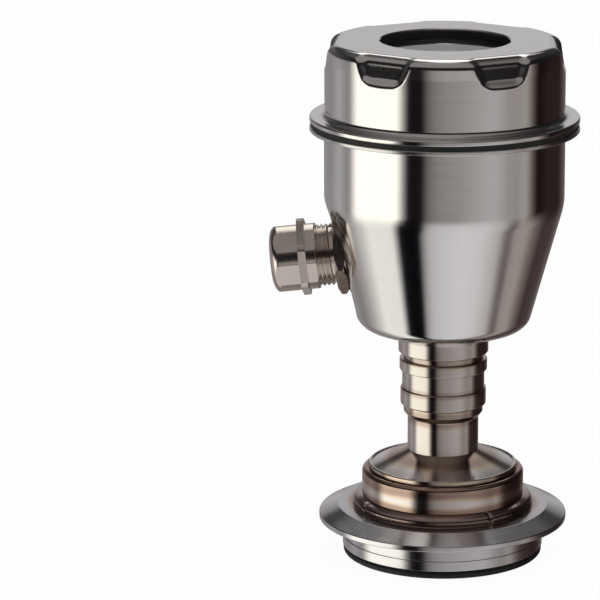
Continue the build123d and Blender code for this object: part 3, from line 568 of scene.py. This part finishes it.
mouldedLooks = {
    "sealRubber": {
        "pale": (0.030, 0.032, 0.030), "dark": (0.012, 0.013, 0.012), "low": 0.45, "high": 0.65,
    },
    "blackPlastic": {
        "pale": (0.035, 0.035, 0.036), "dark": (0.018, 0.018, 0.019), "low": 0.35, "high": 0.5,
    },
    "boardGreen": {
        "pale": (0.04, 0.20, 0.10), "dark": (0.02, 0.12, 0.06), "low": 0.3, "high": 0.45,
    },
    "cageGrey": {"pale": (0.50, 0.50, 0.48), "dark": (0.40, 0.40, 0.38), "low": 0.45, "high": 0.6},
    "cableGrey": {"pale": (0.34, 0.34, 0.33), "dark": (0.24, 0.24, 0.23), "low": 0.5, "high": 0.7},
    "blockGreen": {
        "pale": (0.14, 0.28, 0.18), "dark": (0.09, 0.20, 0.12), "low": 0.4, "high": 0.55,
    },
    "lcdGrey": {
        "pale": (0.36, 0.40, 0.35), "dark": (0.28, 0.32, 0.27), "low": 0.2, "high": 0.3,
        "bump": 0.05,
    },
    "keyGrey": {"pale": (0.55, 0.56, 0.57), "dark": (0.45, 0.46, 0.47), "low": 0.4, "high": 0.55},
    "pinGold": {
        "pale": (0.90, 0.70, 0.33), "dark": (0.78, 0.58, 0.25), "low": 0.2, "high": 0.3,
        "metal": 1.0,
    },
    "innerSteel": {
        "pale": (0.62, 0.61, 0.60), "dark": (0.50, 0.49, 0.48), "low": 0.3, "high": 0.42,
        "metal": 1.0,
    },
}
moulded = {name: mouldedMaterial(name, look) for name, look in mouldedLooks.items()}
clearGlass = glassMaterial("clearGlass", glassLook)
print("materials ready")

nodeLooks = {
    "sealRubber": [
        "process_seal", "neck_o_ring", "cover_gasket", "window_gasket", "gland_washer",
        "sealing_insert",
    ],
    "innerSteel": [
        "diaphragm", "backing_plate", "capsule_clamp_ring", "thrust_washer", "retaining_ring",
        "swivel_stop_pin", "support_ring", "board_spacers", "window_retainer", "sensor_capsule",
        "carrier_screws", "terminal_screws",
    ],
    "pinGold": ["header_pins"],
    "boardGreen": ["cell_board", "terminal_board", "main_board"],
    "cableGrey": ["sensor_cable"],
    "cageGrey": ["clamping_cage"],
    "blackPlastic": ["terminal_carrier", "display_housing", "cable_plug", "key_switches"],
    "blockGreen": ["terminal_block"],
    "lcdGrey": ["lcd_panel"],
    "keyGrey": ["key_mode", "key_down", "key_up"],
    "clearGlass": ["window_glass", "display_lens"],
}
nodeMaterials = {**moulded, "clearGlass": clearGlass}
for lookName, nodeNames in nodeLooks.items():
    for nodeName in nodeNames:
        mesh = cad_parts[nodeName].data
        mesh.materials.clear()
        mesh.materials.append(nodeMaterials[lookName])

# process connection

flangeSettings = {
    "corners": [
        (23.0, 0), (31.0, 0, 0.15), (31.0, 2.9), (34.0, 2.9, 0.25), (34.0, 6.25, 0.08),
        (33.7, 6.25), (33.7, 6.75), (34.0, 6.75, 0.08), (34.0, 12.2, 0.3), (42.0, 12.2, 0.35),
        (42.0, 14.1, 0.45), (35.7, 17.0, 0.4), (30.5, 17.0, 0.25), (30.5, 19.7, 1.9),
        (28.0, 20.5, 0.7), (27.42, 20.5), (27.42, 17.0), (26.0, 17.0), (26.0, 2.5), (23.0, 2.5),
    ],
    "steps": 288,
    "bead": (27.5, 30.6),  # inner and outer radius of the weld bead
    "beadFoot": 17.0,
    "beadLow": 17.3,  # lowest point of the bead that is shaped
    "ripple": 0.012,
    "ripples": 70,
    "marks": [-151.0, -58.0],  # azimuths where the weld starts and stops
    "markR": 29.0,
    "markWidth": 0.9,
    "markDepth": 0.5,
    "markRise": 2.0,
    "lift": 0.5,  # how far a place moves up for each millimetre that it moves out
}


def makeFlange(settings):
    piece = turnPiece("processFlange", settings["corners"], settings["steps"])
    inner, outer = settings["bead"]
    for vert in piece.data.vertices:
        r = sqrt(vert.co.x**2 + vert.co.y**2) / mm
        z = vert.co.z / mm
        if z < settings["beadLow"] or not inner <= r <= outer:
            continue
        azimuth = atan2(vert.co.y, vert.co.x)
        push = settings["ripple"] * sin(azimuth * settings["ripples"])
        for angle in settings["marks"]:
            off = (azimuth - radians(angle) + pi) % (2 * pi) - pi
            off = off * settings["markR"] / settings["markWidth"]
            rise = min(1.0, (z - settings["beadFoot"]) / settings["markRise"])
            push -= settings["markDepth"] * max(0.0, 1 - off * off) * rise
        push = max(push, inner - r)
        vert.co.x += cos(azimuth) * push * mm
        vert.co.y += sin(azimuth) * push * mm
        vert.co.z += push * settings["lift"] * mm
    return piece


dress(makeFlange(flangeSettings), "base", ["process_flange"], steels["flangeSteel"])

cellSettings = {
    "corners": [
        (20.05, 2.52), (25.98, 2.52), (25.98, 17.02), (27.4, 17.02), (27.4, 29.7, 1.5),
        (25.5, 29.7, 0.15), (25.5, 29.2, 0.1), (25.1, 29.2, 0.1), (25.1, 31.5, 0.5),
        (24.2, 31.5, 0.15), (24.2, 31.1, 0.15), (12.02, 36.3), (9.0, 36.3), (9.0, 27.0),
        (20.05, 24.0),
    ],
    "steps": 256,
}
cell = turnPiece("cellBody", cellSettings["corners"], cellSettings["steps"])
dress(cell, "base", ["cell_body"], steels["cellSteel"])
print("process connection ready")

# neck

neckSettings = {
    "tube": [
        (6.0, 33.5), (8.98, 33.5), (8.98, 36.32), (12.0, 36.32), (12.0, 47.9, 1.4),
        (13.4, 49.6, 0.3), (13.4, 52.2, 0.5), (10.5, 52.2), (10.5, 65.94), (9.0, 65.94),
        (9.0, 68.14), (10.5, 68.14), (10.5, 82.01), (9.7, 82.01), (9.7, 83.25), (10.5, 83.25),
        (10.5, 85.05), (6.0, 85.05),
    ],
    "collar": [
        (10.55, 52.22), (14.45, 52.22, 0.4), (14.45, 57.92, 0.4), (10.55, 57.92),
    ],
    "sleeve": [
        (10.55, 57.94), (13.9, 57.94, 0.1), (13.9, 64.04, 0.12), (10.55, 64.04),
    ],
    "socket": [
        (10.55, 64.19), (14.8, 64.19, 0.35), (14.8, 67.99, 0.35), (13.45, 68.2, 0.1),
        (13.45, 69.9, 0.1), (15.2, 70.5, 0.3), (15.2, 80.99), (10.55, 80.99),
    ],
    "steps": 160,
}
for part, name, body, node in (
    ("tube", "neckTube", "base", "neck_tube"),
    ("collar", "lowerCollar", "base", "lower_collar"),
    ("sleeve", "swivelSleeve", "base", "swivel_sleeve"),
    ("socket", "housingSocket", "housing", "housing_socket"),
):
    piece = turnPiece(name, neckSettings[part], neckSettings["steps"])
    dress(piece, body, [node], steels["neckSteel"])
print("neck ready")

# housing

glandSettings = {
    "height": 107.4,  # where the gland's axis meets the housing's
    "tilt": 6.0,
    # the pocket pressed into the housing's wall: its flat bed lies at the seat, out to the pocket's
    # radius, and its side runs out by the slope for each millimetre across
    "seat": 32.0,
    "pocketR": 14.2,
    "pocketSlope": 1.3,
    "pocketReach": 22.2,  # radius about the gland's axis within which the wall is shaped
    "pocketStart": 31.0,  # distance along the axis from which it is shaped
    "blend": 1.0,
    "nut": {
        "flats": 24.0, "bore": 10.0, "low": 32.84, "high": 36.64, "turn": -12.0, "steps": 96,
        "bevel": 0.12, "bevelAngle": 30, "chamfer": 30, "chamferFoot": 0.1, "clear": 0.02,
    },
    "band": {
        "flats": 21.9, "round": 11.5, "bore": 8.0, "low": 42.6, "high": 45.9, "turn": 12.0,
        "steps": 128, "bevel": 0.15, "bevelAngle": 30, "backRound": 0.4,
    },
    "collar": {
        "flats": 24.0, "round": 13.2, "bore": 8.0, "low": 45.9, "high": 48.5, "turn": 25.5,
        "steps": 128, "bevel": 0.15, "bevelAngle": 30, "backRound": 0.4,
    },
    "dome": {
        "flats": 21.9, "round": 11.5, "bore": 6.0, "low": 48.52, "high": 58.22, "turn": 12.0,
        "steps": 144, "bevel": 0.15, "bevelAngle": 25, "end": 6.3, "arc": 3.1, "arcSteps": 14,
        "mouthRound": 0.2, "mouth": 0.7, "seat": (9.35, 54.4), "threadR": 9.4,
    },
    # form: shares of the pitch at which the crest starts and ends and the root is back
    "thread": {
        "crest": 10.4, "root": 9.7, "wall": 0.6, "pitch": 1.5, "form": (0.42, 0.55, 0.97),
        "low": 36.6, "turns": 4, "steps": 72,
    },
    "entrySteps": 128,
    "entry": [
        (6.0, 24.0), (10.38, 24.0, 0.4), (10.38, 36.7), (9.65, 36.7), (9.65, 42.7), (9.2, 42.7),
        (9.2, 54.4, 0.3), (7.6, 54.4), (7.6, 44.0), (6.0, 44.0),
    ],
}
glandTilt = radians(glandSettings["tilt"])
glandAxis = Vector((-cos(glandTilt), 0, -sin(glandTilt)))
glandUp = Vector((-sin(glandTilt), 0, cos(glandTilt)))
glandOrigin = Vector((0, 0, glandSettings["height"] * mm))
glandTurn = Matrix((glandUp, glandAxis.cross(glandUp), glandAxis)).transposed().to_4x4()
glandMatrix = Matrix.Translation(glandOrigin) @ glandTurn

cupSettings = {
    "dishAngle": 20.3, "dishZ": 75.2, "socketR": 15.2, "socketGap": 0.02, "coneAngle": 15.53,
    "coneR": 29.33, "coneZ": 82.76, "wallR": 40.15, "rimZ": 146.42, "sheet": 2.0, "bowlRound": 5.3,
    "shoulderRound": 20.0, "steps": 384, "row": 0.9,
    "rows": (84, 126),  # heights between which the outside gets short rows, for the gland's pocket
    "skin": 0.7,  # how far behind the wall a place still counts as outside
    "insideR": 30.0,
}


def softLow(a, b, width):
    # the lower of two values, rounded where they meet
    gap = max(width - abs(a - b), 0.0) / width
    return min(a, b) - gap * gap * width * 0.25


def cupSide(settings, inset):
    # one side of the sheet, from the socket up to the rim, moved in by the inset
    dish, cone = radians(settings["dishAngle"]), radians(settings["coneAngle"])
    outer = settings["wallR"] - inset
    cornerZ = settings["coneZ"] + (outer + inset / cos(cone) - settings["coneR"]) / tan(cone)
    lowR = settings["coneR"] - inset / cos(cone)
    lowZ = settings["dishZ"] + inset / cos(dish) - settings["socketR"] * tan(dish)
    footR = (lowR - settings["coneZ"] * tan(cone) + lowZ * tan(cone)) / (1 - tan(dish) * tan(cone))
    startR = settings["socketR"] + settings["socketGap"]
    return [
        (startR, lowZ + startR * tan(dish)),
        (footR, lowZ + footR * tan(dish), settings["bowlRound"] - inset, 5),
        (outer, cornerZ, settings["shoulderRound"] - inset, 1.5),
        (outer, settings["rimZ"]),
    ]


def makeCup(settings, gland):
    corners = cupSide(settings, 0) + list(reversed(cupSide(settings, settings["sheet"])))
    slope = tan(radians(settings["coneAngle"]))
    low, high = settings["rows"]

    def onOutside(r, z):
        wall = min(settings["wallR"], settings["coneR"] + (z - settings["coneZ"]) * slope)
        return low < z < high and r > wall - settings["skin"]

    piece = turnPiece("housingCup", corners, settings["steps"], settings["row"], onOutside)
    for vert in piece.data.vertices:
        off = vert.co - glandOrigin
        along = off.dot(glandAxis) / mm
        across = sqrt(off.dot(glandUp) ** 2 + off.y**2) / mm
        r = sqrt(vert.co.x**2 + vert.co.y**2) / mm
        if along < gland["pocketStart"] or across > gland["pocketReach"] or r < settings["insideR"]:
            continue
        floor = gland["seat"] + max(0.0, across - gland["pocketR"]) * gland["pocketSlope"]
        target = softLow(along, floor, gland["blend"] * 2)
        vert.co += glandAxis * (target - along) * mm
    return piece


cup = makeCup(cupSettings, glandSettings)
dress(cup, "housing", ["housing_cup", "gland_boss"], steels["housingSteel"])

rimSettings = {
    "corners": [
        (36.0, 141.4), (38.13, 141.4), (38.13, 146.43), (45.0, 146.43, 0.35), (45.0, 147.85, 0.35),
        (37.9, 147.85), (37.9, 157.65, 0.4), (36.0, 157.65),
    ],
    "steps": 320,
}
rim = turnPiece("housingRim", rimSettings["corners"], rimSettings["steps"])
dress(rim, "housing", ["housing_rim"], steels["rimSteel"])
print("housing ready")

# cover

coverSettings = {
    "corners": [
        (38.1, 149.54), (45.0, 149.54, 0.35), (45.0, 151.34, 0.6), (40.0, 151.34, 2.0),
        (40.0, 162.0), (40.0, 169.99, 6.0), (39.7, 176.49, 3.4, 5), (33.0, 176.49),
        (22.0, 176.49, 0.05), (21.6, 176.09), (21.6, 175.49), (22.42, 175.49), (22.42, 174.79),
        (32.0, 174.79), (32.0, 160.04), (38.1, 160.04),
    ],
    "steps": 576,
    "row": 0.45,
    "rowsFrom": (32.9, 161.9),  # radius and height beyond which the section gets short rows
    "shapeFrom": (33, 162),  # and beyond which the pockets shape it
    "top": 176.49,
    "lugs": 6,
    "lugTurn": -1.5,
    "bed": 37.2,  # radius of a pocket's bed just under its round top edge
    "edge": 3.4,
    "lean": 0.22,  # how far the bed runs out for each millimetre down
    "ledge": 7.5,  # depth below the top where the bed turns out to the wall
    "rise": 1.2,  # how far it runs out there for each millimetre down
    "topHalf": 9.2,  # half the bed's width at the top
    "spread": 0.4,  # how much that half shrinks for each millimetre down
    "side": 1.3,  # how far a pocket's side runs out for each millimetre across
    "hollow": 0.9,
    "blend": 1.0,
}


def pocketReach(settings, depth, across):
    # how far out a pocket's surface lies, at a depth below the top and a distance across
    edge, hollow = settings["edge"], settings["hollow"]
    half = settings["topHalf"] - settings["spread"] * depth
    drop = min(max(edge - depth, 0.0), edge)
    bed = settings["bed"] - edge + sqrt(edge * edge - drop * drop)
    bed += max(depth - edge, 0.0) * settings["lean"]
    bed = -softLow(-bed, -bed - (depth - settings["ledge"]) * settings["rise"], hollow)
    return -softLow(-bed, -bed - (across - half) * settings["side"], hollow * 2)


def makeCover(settings):
    rowsR, rowsZ = settings["rowsFrom"]
    piece = turnPiece("cover", settings["corners"], settings["steps"], settings["row"],
                      lambda r, z: r > rowsR and z > rowsZ)
    shapeR, shapeZ = settings["shapeFrom"]
    step = 2 * pi / settings["lugs"]
    first = radians(settings["lugTurn"] - 90) + step / 2
    for vert in piece.data.vertices:
        r = sqrt(vert.co.x**2 + vert.co.y**2) / mm
        z = vert.co.z / mm
        if r < shapeR or z < shapeZ:
            continue
        azimuth = atan2(vert.co.y, vert.co.x)
        off = (azimuth - first + step / 2) % step - step / 2
        along, across = r * cos(off), abs(r * sin(off))
        reach = pocketReach(settings, settings["top"] - z, across)
        target = softLow(along, reach, settings["blend"] * 2)
        if target < along:
            move = (along - target) * mm
            vert.co.x -= cos(azimuth - off) * move
            vert.co.y -= sin(azimuth - off) * move
    return piece


dress(makeCover(coverSettings), "cover", ["cover"], steels["coverSteel"])
print("cover ready")

# cable gland


def hexPiece(name, settings, section):
    # a six-sided bar cut down to a turned section
    bar = hexBar(name, settings["flats"], settings["low"], settings["high"], settings["turn"])
    keepInside(bar, turnPiece(name + "Blank", section, settings["steps"]))
    bevelEdges(bar, settings["bevel"], settings["bevelAngle"])
    return bar


def makeNut(settings):
    low, high, bore = (settings[key] for key in ("low", "high", "bore"))
    flat, corner = settings["flats"] / 2, settings["flats"] / 2 / cos(pi / 6)
    drop = (corner - flat) * tan(radians(settings["chamfer"])) + settings["chamferFoot"]
    wide = corner + settings["clear"]
    return hexPiece("glandLocknut", settings, [
        (bore, low), (flat, low), (wide, low + drop),
        (wide, high - drop), (flat, high), (bore, high),
    ])


def makeBand(name, settings):
    low, high, bore, outer = (settings[key] for key in ("low", "high", "bore", "round"))
    return hexPiece(name, settings, [
        (bore, low), (outer, low, settings["backRound"]), (outer, high), (bore, high),
    ])


def makeDome(settings):
    low, high, bore, outer = (settings[key] for key in ("low", "high", "bore", "round"))
    end, arc, steps = settings["end"], settings["arc"], settings["arcSteps"]
    angles = [i * pi / 2 / steps for i in range(steps + 1)]
    section = [(settings["threadR"], low), (outer, low)]
    section += [(end + (outer - end) * cos(a), high - arc + arc * sin(a)) for a in angles]
    section += [(bore, high, settings["mouthRound"]), (bore, high - settings["mouth"])]
    section += [settings["seat"]]
    return hexPiece("domeNut", settings, section)


def makeEntry(settings):
    return turnPiece("glandEntry", settings["entry"], settings["entrySteps"])


def makeThread(settings):
    root, crest, pitch, low = (settings[key] for key in ("root", "crest", "pitch", "low"))
    inner = root - settings["wall"]
    rise, fall, foot = (low + pitch * share for share in settings["form"])
    corners = [(inner, low), (root, low), (crest, rise), (crest, fall), (root, foot), (inner, foot)]
    piece = startChain("glandThread", corners)
    closeChain(piece)
    bpy.ops.object.mode_set(mode="OBJECT")
    makeActive(piece)
    bpy.ops.object.modifier_add(type="SCREW")
    change = piece.modifiers[-1]
    change.axis = "Z"
    change.angle = 2 * pi
    change.screw_offset = pitch * mm
    change.iterations = settings["turns"]
    change.steps = change.render_steps = settings["steps"]
    bpy.ops.object.modifier_apply(modifier=change.name)
    bpy.ops.object.mode_set(mode="EDIT")
    bpy.ops.mesh.select_all(action="SELECT")
    bpy.ops.mesh.fill_holes(sides=12)
    bpy.ops.mesh.select_all(action="SELECT")
    bpy.ops.mesh.normals_make_consistent(inside=False)
    bpy.ops.object.mode_set(mode="OBJECT")
    return piece


for piece, body, node in (
    (makeNut(glandSettings["nut"]), "housing", "gland_locknut"),
    (makeDome(glandSettings["dome"]), "dome_nut", "dome_nut"),
    (makeEntry(glandSettings), "housing", "gland_body"),
    (makeThread(glandSettings["thread"]), "housing", "gland_body"),
    (makeBand("glandBand", glandSettings["band"]), "housing", "gland_body"),
    (makeBand("glandCollar", glandSettings["collar"]), "housing", "gland_body"),
):
    placePiece(piece, glandMatrix)
    dress(piece, body, [node], steels["nickelPlate"])
print("gland ready")

# studio

floorSettings = {"size": 6, "color": (0.9, 0.9, 0.9, 1), "rough": 0.8, "glow": 1.02, "share": 0.95}


def addFloor(settings):
    # the camera sees mostly an even glow, with the rest of the lit floor and the shadow in it
    deselectAll()
    bpy.ops.mesh.primitive_plane_add(size=settings["size"], location=(0, 0, 0))
    floor = bpy.context.object
    floor.name = "floor"
    material, nodes, links = newMaterial("paleFloor")
    shader = nodes["Principled BSDF"]
    shader.inputs["Base Color"].default_value = settings["color"]
    shader.inputs["Roughness"].default_value = settings["rough"]
    glow = nodes.new("ShaderNodeEmission")
    glow.inputs["Strength"].default_value = settings["glow"]
    path = nodes.new("ShaderNodeLightPath")
    mix = nodes.new("ShaderNodeMixShader")
    share = addMath(nodes, links, "MULTIPLY", path.outputs["Is Camera Ray"], settings["share"])
    links.new(share, mix.inputs[0])
    links.new(shader.outputs[0], mix.inputs[1])
    links.new(glow.outputs[0], mix.inputs[2])
    links.new(mix.outputs[0], nodes["Material Output"].inputs["Surface"])
    floor.data.materials.append(material)
    floor.visible_glossy = False


addFloor(floorSettings)

lampSettings = {
    "name": "topPanel",
    "place": (0.2, -0.2, 1.3),
    "target": (0, 0, 0.08),
    "size": (1.2, 1.2),
    "power": 9.0,
}


def addLamp(settings):
    data = bpy.data.lights.new(settings["name"], "AREA")
    data.shape = "RECTANGLE"
    data.size, data.size_y = settings["size"]
    data.energy = settings["power"]
    lamp = bpy.data.objects.new(settings["name"], data)
    bpy.context.scene.collection.objects.link(lamp)
    aim = (Vector(settings["target"]) - Vector(settings["place"])).to_track_quat("-Z", "Y")
    lamp.matrix_world = Matrix.Translation(settings["place"]) @ aim.to_matrix().to_4x4()
    lamp.visible_glossy = False


addLamp(lampSettings)

worldSettings = {
    # each belt of the studio: azimuth in degrees (0 towards the camera, minus to its left), colour
    "floor": [
        (-180, (0.35, 0.33, 0.33)), (-140, (0.22, 0.20, 0.20)), (-118, (0.45, 0.43, 0.43)),
        (-104, (0.70, 0.68, 0.65)), (-92, (1.0, 0.99, 0.95)), (-62, (0.98, 0.97, 0.92)),
        (-56, (0.36, 0.35, 0.35)), (-52, (0.004, 0.004, 0.005)), (-29, (0.004, 0.003, 0.005)),
        (-22, (0.40, 0.39, 0.39)), (-15, (0.58, 0.57, 0.58)), (0, (0.68, 0.67, 0.69)),
        (22, (0.74, 0.73, 0.74)), (44, (0.69, 0.68, 0.69)), (64, (0.50, 0.48, 0.48)),
        (71, (0.22, 0.20, 0.19)), (77, (0.12, 0.10, 0.09)), (84, (0.34, 0.31, 0.30)),
        (98, (0.38, 0.34, 0.32)), (110, (0.19, 0.16, 0.15)), (124, (0.06, 0.04, 0.04)),
        (150, (0.10, 0.08, 0.08)), (180, (0.35, 0.33, 0.33)),
    ],
    "walls": [
        (-180, (0.30, 0.28, 0.29)), (-138, (0.30, 0.28, 0.29)), (-120, (0.46, 0.45, 0.46)),
        (-107, (0.30, 0.29, 0.30)), (-102, (0.36, 0.35, 0.36)), (-96, (1.0, 0.97, 0.92)),
        (-90, (1.55, 1.52, 1.38)), (-46, (1.50, 1.47, 1.33)), (-40, (0.46, 0.45, 0.43)),
        (-35, (0.010, 0.008, 0.010)), (-21, (0.006, 0.004, 0.006)), (-16, (0.13, 0.125, 0.125)),
        (-8, (0.23, 0.215, 0.205)), (0, (0.27, 0.255, 0.25)), (14, (0.32, 0.30, 0.30)),
        (30, (0.40, 0.39, 0.39)), (46, (0.47, 0.46, 0.47)), (54, (0.44, 0.43, 0.43)),
        (63, (0.35, 0.33, 0.32)), (72, (0.34, 0.32, 0.31)), (84, (0.40, 0.38, 0.36)),
        (92, (0.13, 0.11, 0.10)), (99, (0.006, 0.003, 0.002)), (117, (0.030, 0.018, 0.018)),
        (140, (0.025, 0.016, 0.016)), (165, (0.15, 0.13, 0.12)), (180, (0.30, 0.28, 0.29)),
    ],
    "sill": [
        (-180, (0.40, 0.38, 0.39)), (-120, (0.30, 0.29, 0.30)), (-102, (0.30, 0.29, 0.30)),
        (-92, (1.5, 1.48, 1.36)), (-46, (1.5, 1.47, 1.35)), (-39, (0.40, 0.39, 0.38)),
        (-34, (0.02, 0.018, 0.02)), (-22, (0.02, 0.018, 0.02)), (-13, (0.36, 0.34, 0.34)),
        (0, (0.54, 0.51, 0.50)), (40, (0.56, 0.53, 0.53)), (70, (0.50, 0.44, 0.42)),
        (86, (0.40, 0.36, 0.34)), (93, (0.12, 0.10, 0.10)), (100, (0.006, 0.004, 0.004)),
        (140, (0.02, 0.015, 0.015)), (180, (0.40, 0.38, 0.39)),
    ],
    "gap": [
        (-180, (0.56, 0.55, 0.56)), (-168, (0.50, 0.49, 0.50)), (-155, (0.14, 0.13, 0.14)),
        (-120, (0.05, 0.048, 0.05)), (-96, (0.012, 0.011, 0.012)), (110, (0.012, 0.011, 0.012)),
        (156, (0.03, 0.028, 0.03)), (168, (0.48, 0.47, 0.48)), (180, (0.56, 0.55, 0.56)),
    ],
    "seam": [
        (-180, (0.06, 0.06, 0.06)), (-120, (0.04, 0.04, 0.04)), (-96, (0.012, 0.011, 0.012)),
        (110, (0.012, 0.011, 0.012)), (180, (0.06, 0.06, 0.06)),
    ],
    "ceiling": [
        (-180, (1.6, 1.6, 1.57)), (-162, (1.4, 1.39, 1.36)), (-157, (0.12, 0.12, 0.12)),
        (-145, (0.07, 0.07, 0.07)), (-120, (0.10, 0.10, 0.10)), (-90, (0.28, 0.27, 0.27)),
        (0, (0.27, 0.26, 0.26)), (60, (0.22, 0.21, 0.21)), (100, (0.08, 0.075, 0.075)),
        (130, (0.03, 0.028, 0.028)), (157, (0.03, 0.028, 0.028)), (162, (1.3, 1.29, 1.26)),
        (180, (1.6, 1.6, 1.57)),
    ],
    "zenith": [(-180, (0.34, 0.33, 0.33)), (0, (0.32, 0.31, 0.31)), (180, (0.34, 0.33, 0.33))],
    # left of the camera the strips of these two belts lean outwards towards the floor, from the
    # height in degrees at which each is as listed
    "lean": 0.41,
    "level": {"floor": -43, "walls": -12.6},
    "leanFrom": (0.49, 0.43),  # share of the full turn at which the lean starts and is whole
    # heights in degrees between which each belt fades in over the one before
    "fades": [
        ("walls", (-30, -15)), ("sill", (-9, -6)), ("gap", (-3, 1)), ("seam", (18, 22)),
        ("ceiling", (28, 36)), ("zenith", (76, 86)),
    ],
}


def addBelt(nodes, links, turn, belt):
    return addRamp(nodes, links, turn, [(azimuth / 360 + 0.5, color) for azimuth, color in belt])


def fadeUp(nodes, links, height, span, low, high):
    share = addRange(nodes, links, height, [radians(limit) for limit in span])
    share.node.interpolation_type = "SMOOTHSTEP"
    return addMix(nodes, links, share, low, high)


def makeWorld(settings):
    world = bpy.data.worlds.new("studio")
    bpy.context.scene.world = world
    world.use_nodes = True
    nodes, links = world.node_tree.nodes, world.node_tree.links
    back = nodes["Background"]
    coords = nodes.new("ShaderNodeTexCoord")
    split = nodes.new("ShaderNodeSeparateXYZ")
    links.new(coords.outputs["Generated"], split.inputs[0])
    negY = addMath(nodes, links, "MULTIPLY", split.outputs[1], -1.0)
    angle = addMath(nodes, links, "ARCTAN2", split.outputs[0], negY)
    turn = addMath(nodes, links, "ADD", addMath(nodes, links, "DIVIDE", angle, 2 * pi), 0.5)
    height = addMath(nodes, links, "ARCSINE", split.outputs[2])
    onLeft = addRange(nodes, links, turn, settings["leanFrom"])
    lean = addMath(nodes, links, "MULTIPLY", onLeft, settings["lean"] / (2 * pi))

    def leaned(belt):
        away = addMath(nodes, links, "SUBTRACT", radians(settings["level"][belt]), height)
        if belt == "walls":
            away = addMath(nodes, links, "MAXIMUM", away, 0.0)
        return addMath(nodes, links, "ADD", turn, addMath(nodes, links, "MULTIPLY", away, lean))

    color = addBelt(nodes, links, leaned("floor"), settings["floor"])
    for belt, span in settings["fades"]:
        place = leaned(belt) if belt in settings["level"] else turn
        above = addBelt(nodes, links, place, settings[belt])
        color = fadeUp(nodes, links, height, span, color, above)
    path = nodes.new("ShaderNodeLightPath")
    seen = addMix(nodes, links, path.outputs["Is Camera Ray"], color, (1, 1, 1, 1))
    links.new(seen, back.inputs["Color"])
    back.inputs["Strength"].default_value = 1.0


makeWorld(worldSettings)

bpy.context.scene.view_settings.view_transform = "Standard"

print("studio ready")
